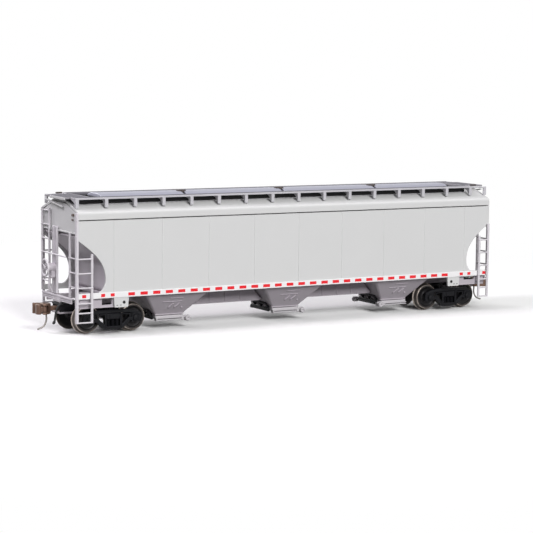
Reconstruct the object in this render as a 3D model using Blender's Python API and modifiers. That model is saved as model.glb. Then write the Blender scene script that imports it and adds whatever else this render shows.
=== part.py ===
"""Model covered hopper car for 16.5 mm gauge track, piece by piece.

Metres, +Z up, +X along the car. The brake end (end b) is at -X, the plain end (end a) at +X.
Heights are counted from the rail top; the empty "car" lifts the rail top so that the wheel
flanges stand at z = 0. What the car has twice is built once for end b and hung a second time
under an empty turned half a circle about Z.
"""

import math

import bmesh
import bpy
from mathutils import Matrix, Vector
from mathutils.geometry import interpolate_bezier

for old in list(bpy.data.objects):
    bpy.data.objects.remove(old, do_unlink=True)

MM = 0.001
SEAT = 0.3 * MM  # gap between pieces that sit on each other
OVER = 0.1 * MM  # overlap of shapes that make one piece

# Wheels and trucks
TREAD_RADIUS = 5.25 * MM
FLANGE_HEIGHT = 0.7 * MM
FLANGE_WIDTH = 0.8 * MM
WHEEL_WIDTH = 2.8 * MM
WHEEL_BACK = 7.25 * MM  # car's centre line to the back of a wheel
RIM_DEPTH = 0.9 * MM
AXLE_RADIUS = 1.1 * MM
JOURNAL_RADIUS = 0.7 * MM
JOURNAL_PLAY = 0.25 * MM
JOURNAL_REACH = 1.3 * MM  # how far an axle end goes into its box
WHEELBASE = 19.8 * MM
TRUCK_INSET = 17.3 * MM  # king pin from the body's end
FRAME_PLAY = 0.85 * MM  # wheel face to side frame
FRAME_THICK = 2.3 * MM
FRAME_END = 2.7 * MM  # side frame past the axle's centre
FRAME_ABOVE = 3.75 * MM  # side frame's top above the axles
FRAME_BELOW = 4.05 * MM  # side frame's foot below the axles
FRAME_CHORD = 1.1 * MM  # bars above and below the window
BOX_HALF = 1.75 * MM  # half height of a journal box
CAP_PROUD = 0.6 * MM
COLUMN_WIDTH = 1.0 * MM
WINDOW_LENGTH = 7.4 * MM
BOLSTER_DEPTH = 2.4 * MM
PLATE_RADIUS = 3.4 * MM
PIN_RADIUS = 0.9 * MM
PIN_PLAY = 0.3 * MM
PIN_HEAD = 1.7 * MM
SPRING_RADIUS = 0.95 * MM
SPRING_RIBS = 5
SPRING_COUNT = 3

# Body
BODY_LENGTH = 197.4 * MM  # over the side sheets
BODY_WIDTH = 35.6 * MM  # over the side sheets
SHEET = 1.0 * MM
SILL_BOTTOM = 14.5 * MM
SILL_HEIGHT = 2.2 * MM
SILL_PROUD = 0.25 * MM
SIDE_HEIGHT = 30.5 * MM  # side sheet above the sill's foot
ROOF_SKIRT = 3.3 * MM  # upright edge of the roof
ROOF_RISE = 4.3 * MM  # roof's middle above that edge
ROOF_FLAT = 11.0 * MM  # width of the roof's level middle
ROOF_BEVEL = 1.1 * MM  # cut off the roof's outer edge, down and across
CUT_DEPTH = 11.8 * MM  # end cut-out of the side sheet
CUT_BELOW = 7.6 * MM  # side sheet's top to where the cut-out starts
CUT_RISE = 4.8 * MM  # sill to where the cut-out is deepest
CUT_FOOT = 3.4 * MM  # how far the cut-out's foot curves back out
TAB_DROP = 4.0 * MM  # bolster tab below the sill
TAB_LENGTH = 6.2 * MM
TAB_SLANT = 0.7 * MM
TAB_SHIFT = 1.3 * MM  # tab nearer to the car's middle than the king pin
FLOOR_THICK = 1.2 * MM
SPINE_HALF = 6.0 * MM  # half width of the centre sill between the bays
SPINE_DROP = 6.8 * MM  # centre sill below the floor
PLATE_DROP = 4.0 * MM  # corner side plate below the sill's foot
PLATE_THICK = 1.0 * MM
PLATE_CHORD = 1.6 * MM  # height of the plate's bar beside the tab
PLATE_WINDOW = 4.5 * MM  # tab to where the plate has its full height
PLATE_END = 1.2 * MM  # plate from the body's end
END_DROP = 5.3 * MM  # end sheet below the side sheets' top
BULKHEAD_HEIGHT = 10.4 * MM  # floor to where the bulkhead bends into the slope
BULKHEAD_INSET = 14.1 * MM  # bulkhead from the body's end
WEIGHT_INSET = 24.6 * MM  # weight from the bulkhead
WEIGHT_WIDTH = 20.0 * MM
WEIGHT_THICK = 2.5 * MM

# Hopper bays
BAY_INSET = 26.9 * MM  # king pin to the middle of the bay next to it
BAY_LENGTH = 29.0 * MM
BAY_BOTTOM = 5.0 * MM
OUTLET_LENGTH = 12.4 * MM
OUTLET_WIDTH = 17.0 * MM
GATE_LENGTH = 12.8 * MM
GATE_WIDTH = 18.4 * MM
GATE_DEPTH = 1.4 * MM
GATE_LIP = 0.6 * MM
SHAFT_RADIUS = 0.45 * MM
CAPSTAN_RADIUS = 1.1 * MM
CAPSTAN_LENGTH = 1.2 * MM

# Roof fittings
BOARD_WIDTH = 5.0 * MM
BOARD_THICK = 0.7 * MM
BOARD_RISE = 1.2 * MM  # board's top above the roof
BOARD_INSET = 2.6 * MM  # body side to the board's outer edge
BOARD_SHORT = 7.6 * MM  # what the board lacks at its short end
BRACKET_PITCH = 12.54 * MM
BRACKET_WIDTH = 1.4 * MM
BRACKET_DEPTH = 0.8 * MM
BRACKET_PROUD = 0.02 * MM  # bracket in front of the board's edge
GRAB_RADIUS = 0.3 * MM
WALK_PROUD = 2.3 * MM  # crosswalk past the body's end
WALK_LENGTH = 10.8 * MM
WALK_GAP = 1.2 * MM  # crosswalk's free end to the line of the short board
BRACE = 0.6 * MM
HATCH_INSET = 14.2 * MM  # hatch from the body's end
HATCH_MIDDLE = 46.2 * MM  # each of the two middle covers
HATCH_WIDTH = 13.0 * MM
HATCH_RISE = 2.3 * MM  # hatch above the roof
HATCH_EDGE = 1.2 * MM  # hatch's top above its upright sides
HATCH_CROWN = 0.3 * MM
HATCH_SHOULDER = 1.9 * MM
HATCH_JOINT = 1.2 * MM

# Ladders, platform and brake at the ends
STILE = 1.0 * MM
STILE_DEPTH = 0.8 * MM
RUNG = 0.6 * MM
LADDER_WIDTH = 6.2 * MM  # between stile centres on the sides
LADDER_DROP = 9.4 * MM  # side ladder below the sill's foot
LADDER_ABOVE = 1.9 * MM  # short stile above its top rung
LOW_INSET = 1.1 * MM  # low ladder's outer stile from the body's end
LOW_WIDTH = 4.6 * MM  # between stile centres of the low ladder
RUNG_PITCH = 5.65 * MM
RUNG_RISE = 2.3 * MM  # sill's top to the first rung
STEP_PITCH = 3.75 * MM
SIDE_RUNGS = 3
STEP_RUNGS = 3
WIDE_LADDER = 7.2 * MM  # between stile centres of the wide end ladder
NARROW_INSET = 3.1 * MM  # narrow ladder's stile from the platform's end
NARROW_LAP = 0.5 * MM  # narrow ladder's stile above the end sheet's foot
RAIL_AWAY = 0.7 * MM  # handrail in front of the ladder's stiles
PLATFORM_THICK = 0.6 * MM
PLATFORM_PROUD = 1.5 * MM  # past the body's end
PLATFORM_INSET = 3.3 * MM  # platform's end from the body's side
PLATFORM_LIP = 2.2 * MM
POST_WIDTH = 4.4 * MM
POST_OFFSET = 2.7 * MM
BRAKE_ABOVE = 10.7 * MM  # brake wheel's middle above the platform
BRAKE_RADIUS = 3.4 * MM
BRAKE_RIM = 0.4 * MM
BRAKE_SPOKES = 6
HOUSING_DEPTH = 3.1 * MM
HOUSING_HEIGHT = 5.6 * MM
HOUSING_INSET = 0.6 * MM

# Draft gear
COUPLER_HEIGHT = 9.3 * MM
COUPLER_OUT = 10.75 * MM  # coupler's nose past the body's end
DRAFT_LENGTH = 10.6 * MM
DRAFT_WIDTH = 7.4 * MM
DRAFT_WALL = 0.9 * MM
DRAFT_OUT = 1.6 * MM  # draft box past the body's end
SHANK_WIDTH = 1.9 * MM
SHANK_HEIGHT = 1.8 * MM
SHANK_PLAY = 0.3 * MM
COUPLER_PIN = 0.9 * MM
EYE_RADIUS = 2.1 * MM
HEAD_HEIGHT = 4.2 * MM
HEAD_LENGTH = 6.4 * MM
GUARD_WIDTH = 3.1 * MM  # guard arm's outer face, from the centre line
KNUCKLE_PIN = 0.5 * MM
KNUCKLE_EYE = 1.1 * MM
KNUCKLE_TALL = 2.0 * MM
PIN_WIRE = 0.35 * MM
PIN_ABOVE = 1.1 * MM  # trip pin's foot above the rail
PIN_REACH = 3.7 * MM
PIN_BACK = 2.2 * MM  # trip pin behind the head's throat
PIN_BEND = ((0, 0), (-0.06, 0.42), (0.26, 0.78), (1, 1))  # shares of reach and drop
HOSE_RADIUS = 0.4 * MM
HOSE_GAP = 0.9 * MM  # draft box to the middle of the hose
HOSE_REACH = 3.2 * MM
HOSE_DROP = 7.8 * MM
HOSE_BEND = ((0, 0), (0.6, 0.3), (0.85, 0.62), (1, 1))  # shares of reach and drop

# Worked out from the values above
HALF_LENGTH = BODY_LENGTH / 2
HALF_WIDTH = BODY_WIDTH / 2
SILL_TOP = SILL_BOTTOM + SILL_HEIGHT
INNER_WIDTH = HALF_WIDTH - SHEET - SEAT  # half width of what stands between the sides
PIVOT_X = HALF_LENGTH - TRUCK_INSET
BAY_PITCH = PIVOT_X - BAY_INSET
SEAM = SILL_BOTTOM + SIDE_HEIGHT
ROOF_EDGE = SEAM + ROOF_SKIRT
ROOF_TOP = ROOF_EDGE + ROOF_RISE
END_SHEET_BOTTOM = SEAM - END_DROP
BULKHEAD_X = HALF_LENGTH - BULKHEAD_INSET
FRAME_TOP = TREAD_RADIUS + FRAME_ABOVE
FRAME_BOTTOM = TREAD_RADIUS - FRAME_BELOW
WINDOW_TOP = FRAME_TOP - FRAME_CHORD
WINDOW_BOTTOM = FRAME_BOTTOM + FRAME_CHORD
WHEEL_FACE = WHEEL_BACK + WHEEL_WIDTH
FRAME_IN = WHEEL_FACE + FRAME_PLAY
FRAME_OUT = FRAME_IN + FRAME_THICK
FLOOR_LOW = SILL_BOTTOM + SEAT
FLOOR_HIGH = FLOOR_LOW + FLOOR_THICK
FLOOR_HALF = BULKHEAD_X + SHEET
SLOPE_FOOT = FLOOR_HIGH + BULKHEAD_HEIGHT
WEIGHT_LENGTH = 2 * (BULKHEAD_X - WEIGHT_INSET)
ROOF_LOW = SEAM + SEAT
BOARD_TOP = ROOF_TOP + BOARD_RISE
BOARD_LOW = BOARD_TOP - BOARD_THICK
BOARD_OUT = HALF_WIDTH - BOARD_INSET
BOARD_IN = BOARD_OUT - BOARD_WIDTH
WALK_FAR = BOARD_IN - WALK_GAP
HATCH_LENGTH = BODY_LENGTH - 2 * HATCH_INSET
HATCH_TOP = ROOF_TOP + HATCH_RISE
HATCH_SIDE = HATCH_TOP - HATCH_EDGE
PLATFORM_TOP = SILL_BOTTOM
PLATFORM_WIDTH = BODY_WIDTH - 2 * PLATFORM_INSET
NARROW_STILE = PLATFORM_WIDTH / 2 - NARROW_INSET
FIRST_RUNG = SILL_TOP + RUNG_RISE
TOP_RUNG = FIRST_RUNG + (SIDE_RUNGS - 1) * RUNG_PITCH
END_RUNGS = 1 + int((ROOF_EDGE - FIRST_RUNG - RUNG) / RUNG_PITCH)
LADDER_TOP = TOP_RUNG + LADDER_ABOVE
LADDER_BOTTOM = SILL_BOTTOM - LADDER_DROP
NARROW_TOP = END_SHEET_BOTTOM + NARROW_LAP
BRAKE_HEIGHT = PLATFORM_TOP + BRAKE_ABOVE
PULLING_FACE = HALF_LENGTH + COUPLER_OUT
END_FACE = HALF_LENGTH + SEAT  # where the fittings on the ends begin
SIDE_FACE = HALF_WIDTH + SILL_PROUD + SEAT  # where the fittings on the sides begin
ROOF_SLOPE = (ROOF_TOP - ROOF_EDGE) / (HALF_WIDTH - ROOF_FLAT / 2)
DRAFT_HEIGHT = SHANK_HEIGHT + 2 * SHANK_PLAY + 2 * DRAFT_WALL
DRAFT_TOP = COUPLER_HEIGHT + DRAFT_HEIGHT / 2
STUB_LOW = DRAFT_TOP - 1.2 * MM
PLATE_TOP = STUB_LOW - SEAT
TAB_X = PIVOT_X - TAB_SHIFT
BOLSTER_TOP = WINDOW_TOP - SEAT
RAIL_TOP = FLANGE_HEIGHT


def new_collection(name):
    made = bpy.data.collections.new(name)
    bpy.context.scene.collection.children.link(made)
    return made


PARTS = new_collection("model_hopper_car")
CUTTERS = new_collection("cutters")


def paint(name, colour, roughness, metallic=0.0):
    """A Principled material of one colour."""
    made = bpy.data.materials.new(name)
    made.use_nodes = True
    shader = made.node_tree.nodes["Principled BSDF"]
    shader.inputs["Base Color"].default_value = (*colour, 1.0)
    shader.inputs["Roughness"].default_value = roughness
    shader.inputs["Metallic"].default_value = metallic
    return made


GREY_BODY = (0.66, 0.66, 0.66)
GREY_SHADE = (0.45, 0.43, 0.46)
SILVER = (0.60, 0.60, 0.68)
BLACK = (0.02, 0.02, 0.024)
BROWN = (0.12, 0.065, 0.045)
STEEL = (0.35, 0.33, 0.32)


def empty(name, parent, location=(0, 0, 0), turn=0.0):
    made = bpy.data.objects.new(name, None)
    PARTS.objects.link(made)
    made.parent = parent
    made.location = location
    made.rotation_euler = (0, 0, turn)
    return made


def mesh_of(bm, name):
    """A mesh data block from a bmesh, welded, with its faces turned outwards."""
    bmesh.ops.remove_doubles(bm, verts=bm.verts, dist=1e-7)
    bmesh.ops.recalc_face_normals(bm, faces=bm.faces)
    data = bpy.data.meshes.new(name)
    bm.to_mesh(data)
    bm.free()
    return data


def blocks(name, spans):
    """Boxes in one mesh, each given by its two ends along X, Y and Z."""
    bm = bmesh.new()
    for x, y, z in spans:
        centre = Vector((sum(x) / 2, sum(y) / 2, sum(z) / 2))
        size = (abs(x[1] - x[0]), abs(y[1] - y[0]), abs(z[1] - z[0]), 1)
        bmesh.ops.create_cube(bm, size=1, matrix=Matrix.Translation(centre) @ Matrix.Diagonal(size))
    return mesh_of(bm, name)


def rods(name, ends, radius, sides=10):
    """Round bars in one mesh, each given by its two end points."""
    bm = bmesh.new()
    for start, stop in ends:
        way = Vector(stop) - Vector(start)
        turn = way.to_track_quat("Z", "Y").to_matrix().to_4x4()
        place = Matrix.Translation((Vector(start) + Vector(stop)) / 2) @ turn
        bmesh.ops.create_cone(bm, cap_ends=True, segments=sides, radius1=radius, radius2=radius,
                              depth=way.length, matrix=place)
    return mesh_of(bm, name)


PLANES = {
    "XY": Matrix.Identity(4),
    "XZ": Matrix.Rotation(math.pi / 2, 4, "X"),
    "YZ": Matrix(((0, 0, 1, 0), (1, 0, 0, 0), (0, 1, 0, 0), (0, 0, 0, 1))),
}


def curve_solid(name, curve):
    """A welded bmesh of the curve's solid."""
    holder = bpy.data.objects.new(name, curve)
    bpy.context.scene.collection.objects.link(holder)
    bpy.context.view_layer.update()
    data = bpy.data.meshes.new_from_object(holder.evaluated_get(bpy.context.evaluated_depsgraph_get()))
    bpy.data.objects.remove(holder)
    bm = bmesh.new()
    bm.from_mesh(data)
    bmesh.ops.remove_doubles(bm, verts=bm.verts, dist=1e-7)
    return bm


def slab(name, outline, plane, low, high):
    """A flat outline in a plane, filled and extruded from low to high along the plane's normal."""
    curve = bpy.data.curves.new(name, "CURVE")
    curve.dimensions = "2D"
    curve.fill_mode = "BOTH"
    curve.extrude = (high - low) / 2
    line = curve.splines.new("POLY")
    line.points.add(len(outline) - 1)
    for point, (u, v) in zip(line.points, outline):
        point.co = (u, v, 0, 1)
    line.use_cyclic_u = True
    bm = curve_solid(name, curve)
    for side in (-1, 1):
        cap = [face for face in bm.faces if all(vert.co.z * side > 0 for vert in face.verts)]
        bmesh.ops.dissolve_faces(bm, faces=cap)
    middle = (low + high) / 2
    shift = {"XY": (0, 0, middle), "XZ": (0, middle, 0), "YZ": (middle, 0, 0)}[plane]
    bm.transform(Matrix.Translation(shift) @ PLANES[plane])
    return mesh_of(bm, name)


def tube(name, points, radius):
    """A round wire through the given points, bent smoothly."""
    curve = bpy.data.curves.new(name, "CURVE")
    curve.dimensions = "3D"
    curve.bevel_depth = radius
    curve.bevel_resolution = 1
    curve.resolution_u = 4
    curve.use_fill_caps = True
    line = curve.splines.new("BEZIER")
    line.bezier_points.add(len(points) - 1)
    for bend, point in zip(line.bezier_points, points):
        bend.co = point
        bend.handle_left_type = "AUTO"
        bend.handle_right_type = "AUTO"
    return mesh_of(curve_solid(name, curve), name)


def piece(name, data, look, parent, location=(0, 0, 0)):
    """A finished sub-part."""
    made = bpy.data.objects.new(name, data)
    made.data.materials.clear()
    made.data.materials.append(look)
    made.parent = parent
    made.location = location
    PARTS.objects.link(made)
    return made


def join(target, data, operation="UNION"):
    """Adds a helper mesh to a sub-part, or takes it away, with a Boolean."""
    tool = bpy.data.objects.new(f"{target.name}.{operation.lower()}", data)
    tool.parent = target.parent
    tool.location = target.location
    tool.hide_render = True
    tool.display_type = "WIRE"
    CUTTERS.objects.link(tool)
    step = target.modifiers.new(operation.title(), "BOOLEAN")
    step.operation = operation
    step.solver = "EXACT"
    step.object = tool
    return target


def cut(target, data):
    return join(target, data, "DIFFERENCE")


def turned(name, profile, look, parent, location, steps):
    """A profile of (radius, height) points, top first, spun about the object's own Z."""
    data = bpy.data.meshes.new(name)
    edges = [(i, i + 1) for i in range(len(profile) - 1)]
    data.from_pydata([(r, 0, h) for r, h in profile], edges, [])
    made = piece(name, data, look, parent, location)
    spin = made.modifiers.new("Screw", "SCREW")
    spin.steps = steps
    spin.render_steps = steps
    spin.use_merge_vertices = True
    spin.merge_threshold = 1e-6
    return made


car = empty("car", None, (0, 0, RAIL_TOP))
ends = {"b": empty("end_b", car), "a": empty("end_a", car, turn=math.pi)}
SIDES = {"right": "b", "left": "a"}  # the right side (-Y) is built under end b


def cut_out():
    """The curve of a side sheet's end cut-out, from its top down to the sill."""
    deep = HALF_LENGTH - CUT_DEPTH
    top = Vector((HALF_LENGTH, SEAM - CUT_BELOW, 0))
    waist = Vector((deep, SILL_TOP + CUT_RISE, 0))
    foot = Vector((deep + CUT_FOOT, SILL_TOP, 0))
    fall = top.y - waist.y
    leave = top - Vector((0.593 * CUT_DEPTH, 0.314 * fall, 0))
    upper = interpolate_bezier(top, leave, waist + Vector((0, 0.44 * fall, 0)), waist, 10)
    lower = interpolate_bezier(waist, waist - Vector((0, 0.542 * CUT_RISE, 0)),
                               foot - Vector((0.47 * CUT_FOOT, 0, 0)), foot, 5)
    return [(p.x, p.y) for p in upper + lower[1:]]


def side_outline():
    """Half of the side sheet's outline, from the top middle to the bottom middle, at +X."""
    tab_in = TAB_X - TAB_LENGTH / 2
    tab_out = TAB_X + TAB_LENGTH / 2
    tab_low = SILL_BOTTOM - TAB_DROP
    half = [(HALF_LENGTH, SEAM)] + cut_out()
    half += [(HALF_LENGTH, SILL_TOP), (HALF_LENGTH, SILL_BOTTOM), (tab_out, SILL_BOTTOM)]
    half += [(tab_out - TAB_SLANT, tab_low), (tab_in + TAB_SLANT, tab_low), (tab_in, SILL_BOTTOM)]
    return half


def side_sheets():
    half = side_outline()
    outline = half + [(-x, z) for x, z in reversed(half)]
    for side, end in SIDES.items():
        look = paint(f"side_sheet_{side}_paint", GREY_BODY, 0.45)
        data = slab("side", outline, "XZ", -HALF_WIDTH, -HALF_WIDTH + SHEET)
        made = piece(f"side_sheet_{side}", data, look, ends[end])
        strip = (-HALF_WIDTH - SILL_PROUD, -HALF_WIDTH + SHEET / 2)
        along = (-HALF_LENGTH + OVER / 2, HALF_LENGTH - OVER / 2)
        join(made, blocks("sill", [(along, strip, (SILL_BOTTOM + OVER / 2, SILL_TOP - OVER / 2))]))


def roof_height(y):
    """Height of the roof's outer face at a distance from the centre line."""
    return min(ROOF_TOP, ROOF_EDGE + ROOF_SLOPE * (HALF_WIDTH - abs(y)))


def roof():
    flat = ROOF_FLAT / 2
    bevel = HALF_WIDTH - ROOF_BEVEL
    outer = [(HALF_WIDTH, ROOF_LOW), (HALF_WIDTH, ROOF_EDGE - ROOF_BEVEL),
             (bevel, roof_height(bevel)), (flat, ROOF_TOP)]
    inner = [(HALF_WIDTH - SHEET, ROOF_LOW), (HALF_WIDTH - SHEET, ROOF_EDGE - SHEET / 2),
             (flat, ROOF_TOP - SHEET)]
    outline = outer + [(-y, z) for y, z in reversed(outer)]
    outline += [(-y, z) for y, z in inner] + list(reversed(inner))
    data = slab("roof", outline, "YZ", -HALF_LENGTH, HALF_LENGTH)
    piece("roof", data, paint("roof_paint", GREY_BODY, 0.45), car)


def end_sheets():
    flat = ROOF_FLAT / 2
    half = [(INNER_WIDTH, END_SHEET_BOTTOM), (INNER_WIDTH, ROOF_EDGE - SHEET / 2 - SEAT),
            (flat, ROOF_TOP - SHEET - SEAT)]
    outline = half + [(-y, z) for y, z in reversed(half)]
    for end, frame in ends.items():
        data = slab("end", outline, "YZ", -HALF_LENGTH, -HALF_LENGTH + SHEET)
        piece(f"end_sheet_{end}", data, paint(f"end_sheet_{end}_paint", GREY_BODY, 0.5), frame)


def slope_sheets():
    """An upright bulkhead on the floor's end, bent into the slope that meets the end sheet."""
    top = (-HALF_LENGTH + SHEET / 2, END_SHEET_BOTTOM - SEAT)
    foot = (-BULKHEAD_X, SLOPE_FOOT)
    low = FLOOR_HIGH + SEAT
    run = SHEET * 1.4
    outline = [(foot[0], low), foot, top, (top[0] + run, top[1]),
               (foot[0] + SHEET, foot[1] + SHEET / 2), (foot[0] + SHEET, low)]
    for end, frame in ends.items():
        data = slab("slope", outline, "XZ", -INNER_WIDTH, INNER_WIDTH)
        piece(f"slope_sheet_{end}", data, paint(f"slope_sheet_{end}_paint", GREY_SHADE, 0.5), frame)


def bay_reach(z):
    """Half length of a hopper bay at a height."""
    top = FLOOR_LOW - SEAT
    share = (z - BAY_BOTTOM) / (top - BAY_BOTTOM)
    return OUTLET_LENGTH / 2 + share * (BAY_LENGTH - OUTLET_LENGTH) / 2


def centre_sill(side):
    """Outline of the centre sill between the middle bay and the bay on one side, up into the floor."""
    low, high = FLOOR_LOW - SPINE_DROP, FLOOR_LOW + OVER
    gap = 2 * SEAT
    inner = [(bay_reach(z) + gap, z) for z in (low, high)]
    outer = [(BAY_PITCH - bay_reach(z) - gap, z) for z in (high, low)]
    return [(side * x, z) for x, z in inner + outer]


def floor_and_weight():
    """Floor with the centre sill under it between the bays, and the weight that lies on it."""
    plate = slab("floor", [(-FLOOR_HALF, -INNER_WIDTH), (FLOOR_HALF, -INNER_WIDTH),
                           (FLOOR_HALF, INNER_WIDTH), (-FLOOR_HALF, INNER_WIDTH)],
                 "XY", FLOOR_LOW, FLOOR_HIGH)
    made = piece("floor", plate, paint("floor_paint", GREY_SHADE, 0.6), car)
    hole = PIN_RADIUS + PIN_PLAY
    cut(made, rods("holes", [((x, 0, FLOOR_LOW - MM), (x, 0, FLOOR_HIGH + MM))
                             for x in (-PIVOT_X, PIVOT_X)], hole, 12))
    for side in (-1, 1):
        join(made, slab("spine", centre_sill(side), "XZ", -SPINE_HALF, SPINE_HALF))
    low = FLOOR_HIGH + SEAT
    bar = blocks("weight", [((-WEIGHT_LENGTH / 2, WEIGHT_LENGTH / 2),
                             (-WEIGHT_WIDTH / 2, WEIGHT_WIDTH / 2), (low, low + WEIGHT_THICK))])
    piece("ballast_weight", bar, paint("ballast_steel", STEEL, 0.4, 1.0), car)


def hopper_bays():
    """Three tapered hopper bays, each with its outlet gate and the gate's capstan shaft."""
    top = FLOOR_LOW - SEAT
    for number, x in enumerate((-BAY_PITCH, 0.0, BAY_PITCH), 1):
        bm = bmesh.new()
        size = (BAY_LENGTH, 2 * INNER_WIDTH, top - BAY_BOTTOM, 1)
        place = Matrix.Translation((0, 0, (top + BAY_BOTTOM) / 2)) @ Matrix.Diagonal(size)
        bmesh.ops.create_cube(bm, size=1, matrix=place)
        for corner in bm.verts:
            if corner.co.z < (top + BAY_BOTTOM) / 2:
                corner.co.x *= OUTLET_LENGTH / BAY_LENGTH
                corner.co.y *= OUTLET_WIDTH / (2 * INNER_WIDTH)
        look = paint(f"hopper_bay_{number}_paint", GREY_SHADE, 0.5)
        piece(f"hopper_bay_{number}", mesh_of(bm, "bay"), look, car, (x, 0, 0))
        outlet_gate(number, x)


def outlet_gate(number, x):
    high = BAY_BOTTOM - SEAT
    low = high - GATE_DEPTH
    long, wide = GATE_LENGTH / 2, GATE_WIDTH / 2
    frame = blocks("gate", [((-long, long), (-wide, wide), (low, high))])
    look = paint(f"outlet_gate_{number}_paint", GREY_SHADE, 0.5)
    made = piece(f"outlet_gate_{number}", frame, look, car, (x, 0, 0))
    lip = (wide - 2 * GATE_LIP, wide + GATE_LIP)
    rail = (low - GATE_LIP, low + GATE_LIP)
    hand = -1 if number == 3 else 1
    span = (-hand * long, hand * (long + 2 * CAPSTAN_RADIUS))
    join(made, blocks("rails", [(span, (side * lip[0], side * lip[1]), rail) for side in (-1, 1)]))
    axis = (hand * (long + CAPSTAN_RADIUS), low)
    tip = wide + GATE_LIP + CAPSTAN_LENGTH
    join(made, rods("shaft", [((axis[0], -tip, axis[1]), (axis[0], tip, axis[1]))], SHAFT_RADIUS, 8))
    inner = wide + GATE_LIP / 2
    join(made, rods("capstans", [((axis[0], side * inner, axis[1]), (axis[0], side * tip, axis[1]))
                                 for side in (-1, 1)], CAPSTAN_RADIUS, 8))


def stub_sills():
    """Body bolster across the car with the stub of centre sill that takes the king pin.

    A side plate with a window runs from each end of the bolster towards the car's corner.
    """
    high = FLOOR_LOW - SEAT
    inner = PIVOT_X - TAB_LENGTH
    outer = HALF_LENGTH + DRAFT_OUT - DRAFT_LENGTH - SEAT
    skin = INNER_WIDTH - OVER
    start, stop = -TAB_X - TAB_LENGTH / 2 + 2 * TAB_SLANT, -HALF_LENGTH + PLATE_END
    step = -TAB_X - TAB_LENGTH / 2 - PLATE_WINDOW
    low, top = SILL_BOTTOM - PLATE_DROP, high - SEAT
    bar = low + PLATE_CHORD
    plate = [(stop, low), (start, low), (start, top), (start - TAB_SLANT, top)]
    plate += [(start - TAB_SLANT, bar), (step, bar), (step, top), (stop, top)]
    for end, frame in ends.items():
        spine = ((-outer, -inner), (-DRAFT_WIDTH / 2, DRAFT_WIDTH / 2), (STUB_LOW, high))
        data = blocks("stub", [spine])
        made = piece(f"stub_sill_{end}", data, paint(f"stub_sill_{end}_paint", GREY_SHADE, 0.55), frame)
        arm = (-TAB_X - TAB_LENGTH / 2 + TAB_SLANT, -TAB_X + TAB_LENGTH / 2 - TAB_SLANT)
        beam = (high - SILL_HEIGHT, high - OVER)
        join(made, blocks("arms", [(arm, (-INNER_WIDTH, INNER_WIDTH), beam)]))
        cut(made, rods("bore", [((-PIVOT_X, 0, STUB_LOW - MM), (-PIVOT_X, 0, high + MM))],
                       PIN_RADIUS + PIN_PLAY, 12))
        for side in (-1, 1):
            join(made, slab("plate", plate, "XZ", *sorted((side * skin, side * (skin - PLATE_THICK)))))


def running_boards():
    """Running board along each roof edge on its brackets, with a grab bar past its short end."""
    start, stop = -HALF_LENGTH, HALF_LENGTH - BOARD_SHORT
    foot = roof_height(BOARD_OUT - BRACKET_DEPTH) + SEAT
    front, back = -BOARD_OUT - BRACKET_PROUD, -BOARD_OUT + BRACKET_DEPTH
    head, bend = BOARD_LOW + BOARD_THICK / 2, BOARD_LOW - BRACKET_DEPTH
    inner = -BOARD_IN - 2 * OVER
    arm = [(front, foot), (front, head), (inner, head), (inner, bend)]
    arm += [(back + BRACKET_DEPTH / 2, bend - BRACKET_DEPTH / 2), (back, foot)]
    count = 1 + int((stop - start - BRACKET_WIDTH) / BRACKET_PITCH)
    corner = HALF_LENGTH - BRACKET_WIDTH
    edge = -BOARD_OUT + BRACKET_DEPTH / 2
    for side, end in SIDES.items():
        look = paint(f"running_board_{side}_paint", SILVER, 0.4)
        plank = blocks("board", [((start, stop), (-BOARD_OUT, -BOARD_IN), (BOARD_LOW, BOARD_TOP))])
        made = piece(f"running_board_{side}", plank, look, ends[end])
        bm = bmesh.new()
        for step in range(count):
            low = start + OVER + step * BRACKET_PITCH
            bm.from_mesh(slab("bracket", arm, "YZ", low, low + BRACKET_WIDTH))
        join(made, mesh_of(bm, "brackets"))
        post = ((corner, corner + BRACKET_WIDTH), (-BOARD_OUT, back), (foot, head))
        join(made, blocks("corner", [post]))
        middle = head - GRAB_RADIUS - OVER / 2
        grab = ((stop - BRACKET_WIDTH, edge, middle), (corner + OVER, edge, middle))
        join(made, rods("grab", [grab], GRAB_RADIUS, 8))


def crosswalks():
    """Platform across the roof's end, on pads, with the slanting brace in front of the end sheet."""
    out = -HALF_LENGTH - WALK_PROUD
    inner = out + WALK_LENGTH
    near = -BOARD_IN + SEAT
    for end, frame in ends.items():
        look = paint(f"crosswalk_{end}_paint", SILVER, 0.45)
        data = blocks("walk", [((out, inner), (near, WALK_FAR), (BOARD_LOW, BOARD_TOP))])
        made = piece(f"crosswalk_{end}", data, look, frame)
        pad = (ROOF_TOP + SEAT, BOARD_LOW + 2 * OVER)
        wide = ROOF_FLAT / 2 - MM
        join(made, blocks("pads", [((-HALF_LENGTH + MM, inner - MM), (-wide, wide), pad)]))
        front = -END_FACE - BRACE
        tip = (front, -wide, roof_height(wide + 4 * MM) - MM)
        root = (front - BRACE, WALK_FAR - 2 * BRACE, BOARD_LOW + 2 * OVER)
        join(made, rods("brace", [(root, tip)], BRACE / 2, 6))


def hatch_covers():
    """Trough hatch along the roof's middle in four covers."""
    wide = HATCH_WIDTH / 2
    low = ROOF_TOP + SEAT
    half = [(wide, low), (wide, HATCH_SIDE), (wide - HATCH_SHOULDER, HATCH_TOP - HATCH_CROWN)]
    outline = half + [(0, HATCH_TOP)] + [(-y, z) for y, z in reversed(half)]
    edges = (-HATCH_LENGTH / 2, -HATCH_MIDDLE, 0.0, HATCH_MIDDLE, HATCH_LENGTH / 2)
    for number, (start, stop) in enumerate(zip(edges, edges[1:]), 1):
        data = slab("hatch", outline, "YZ", start + HATCH_JOINT / 2, stop - HATCH_JOINT / 2)
        piece(f"hatch_cover_{number}", data, paint(f"hatch_cover_{number}_paint", SILVER, 0.35), car)


def rung_heights(first, pitch, count):
    return [first + step * pitch for step in range(count)]


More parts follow.
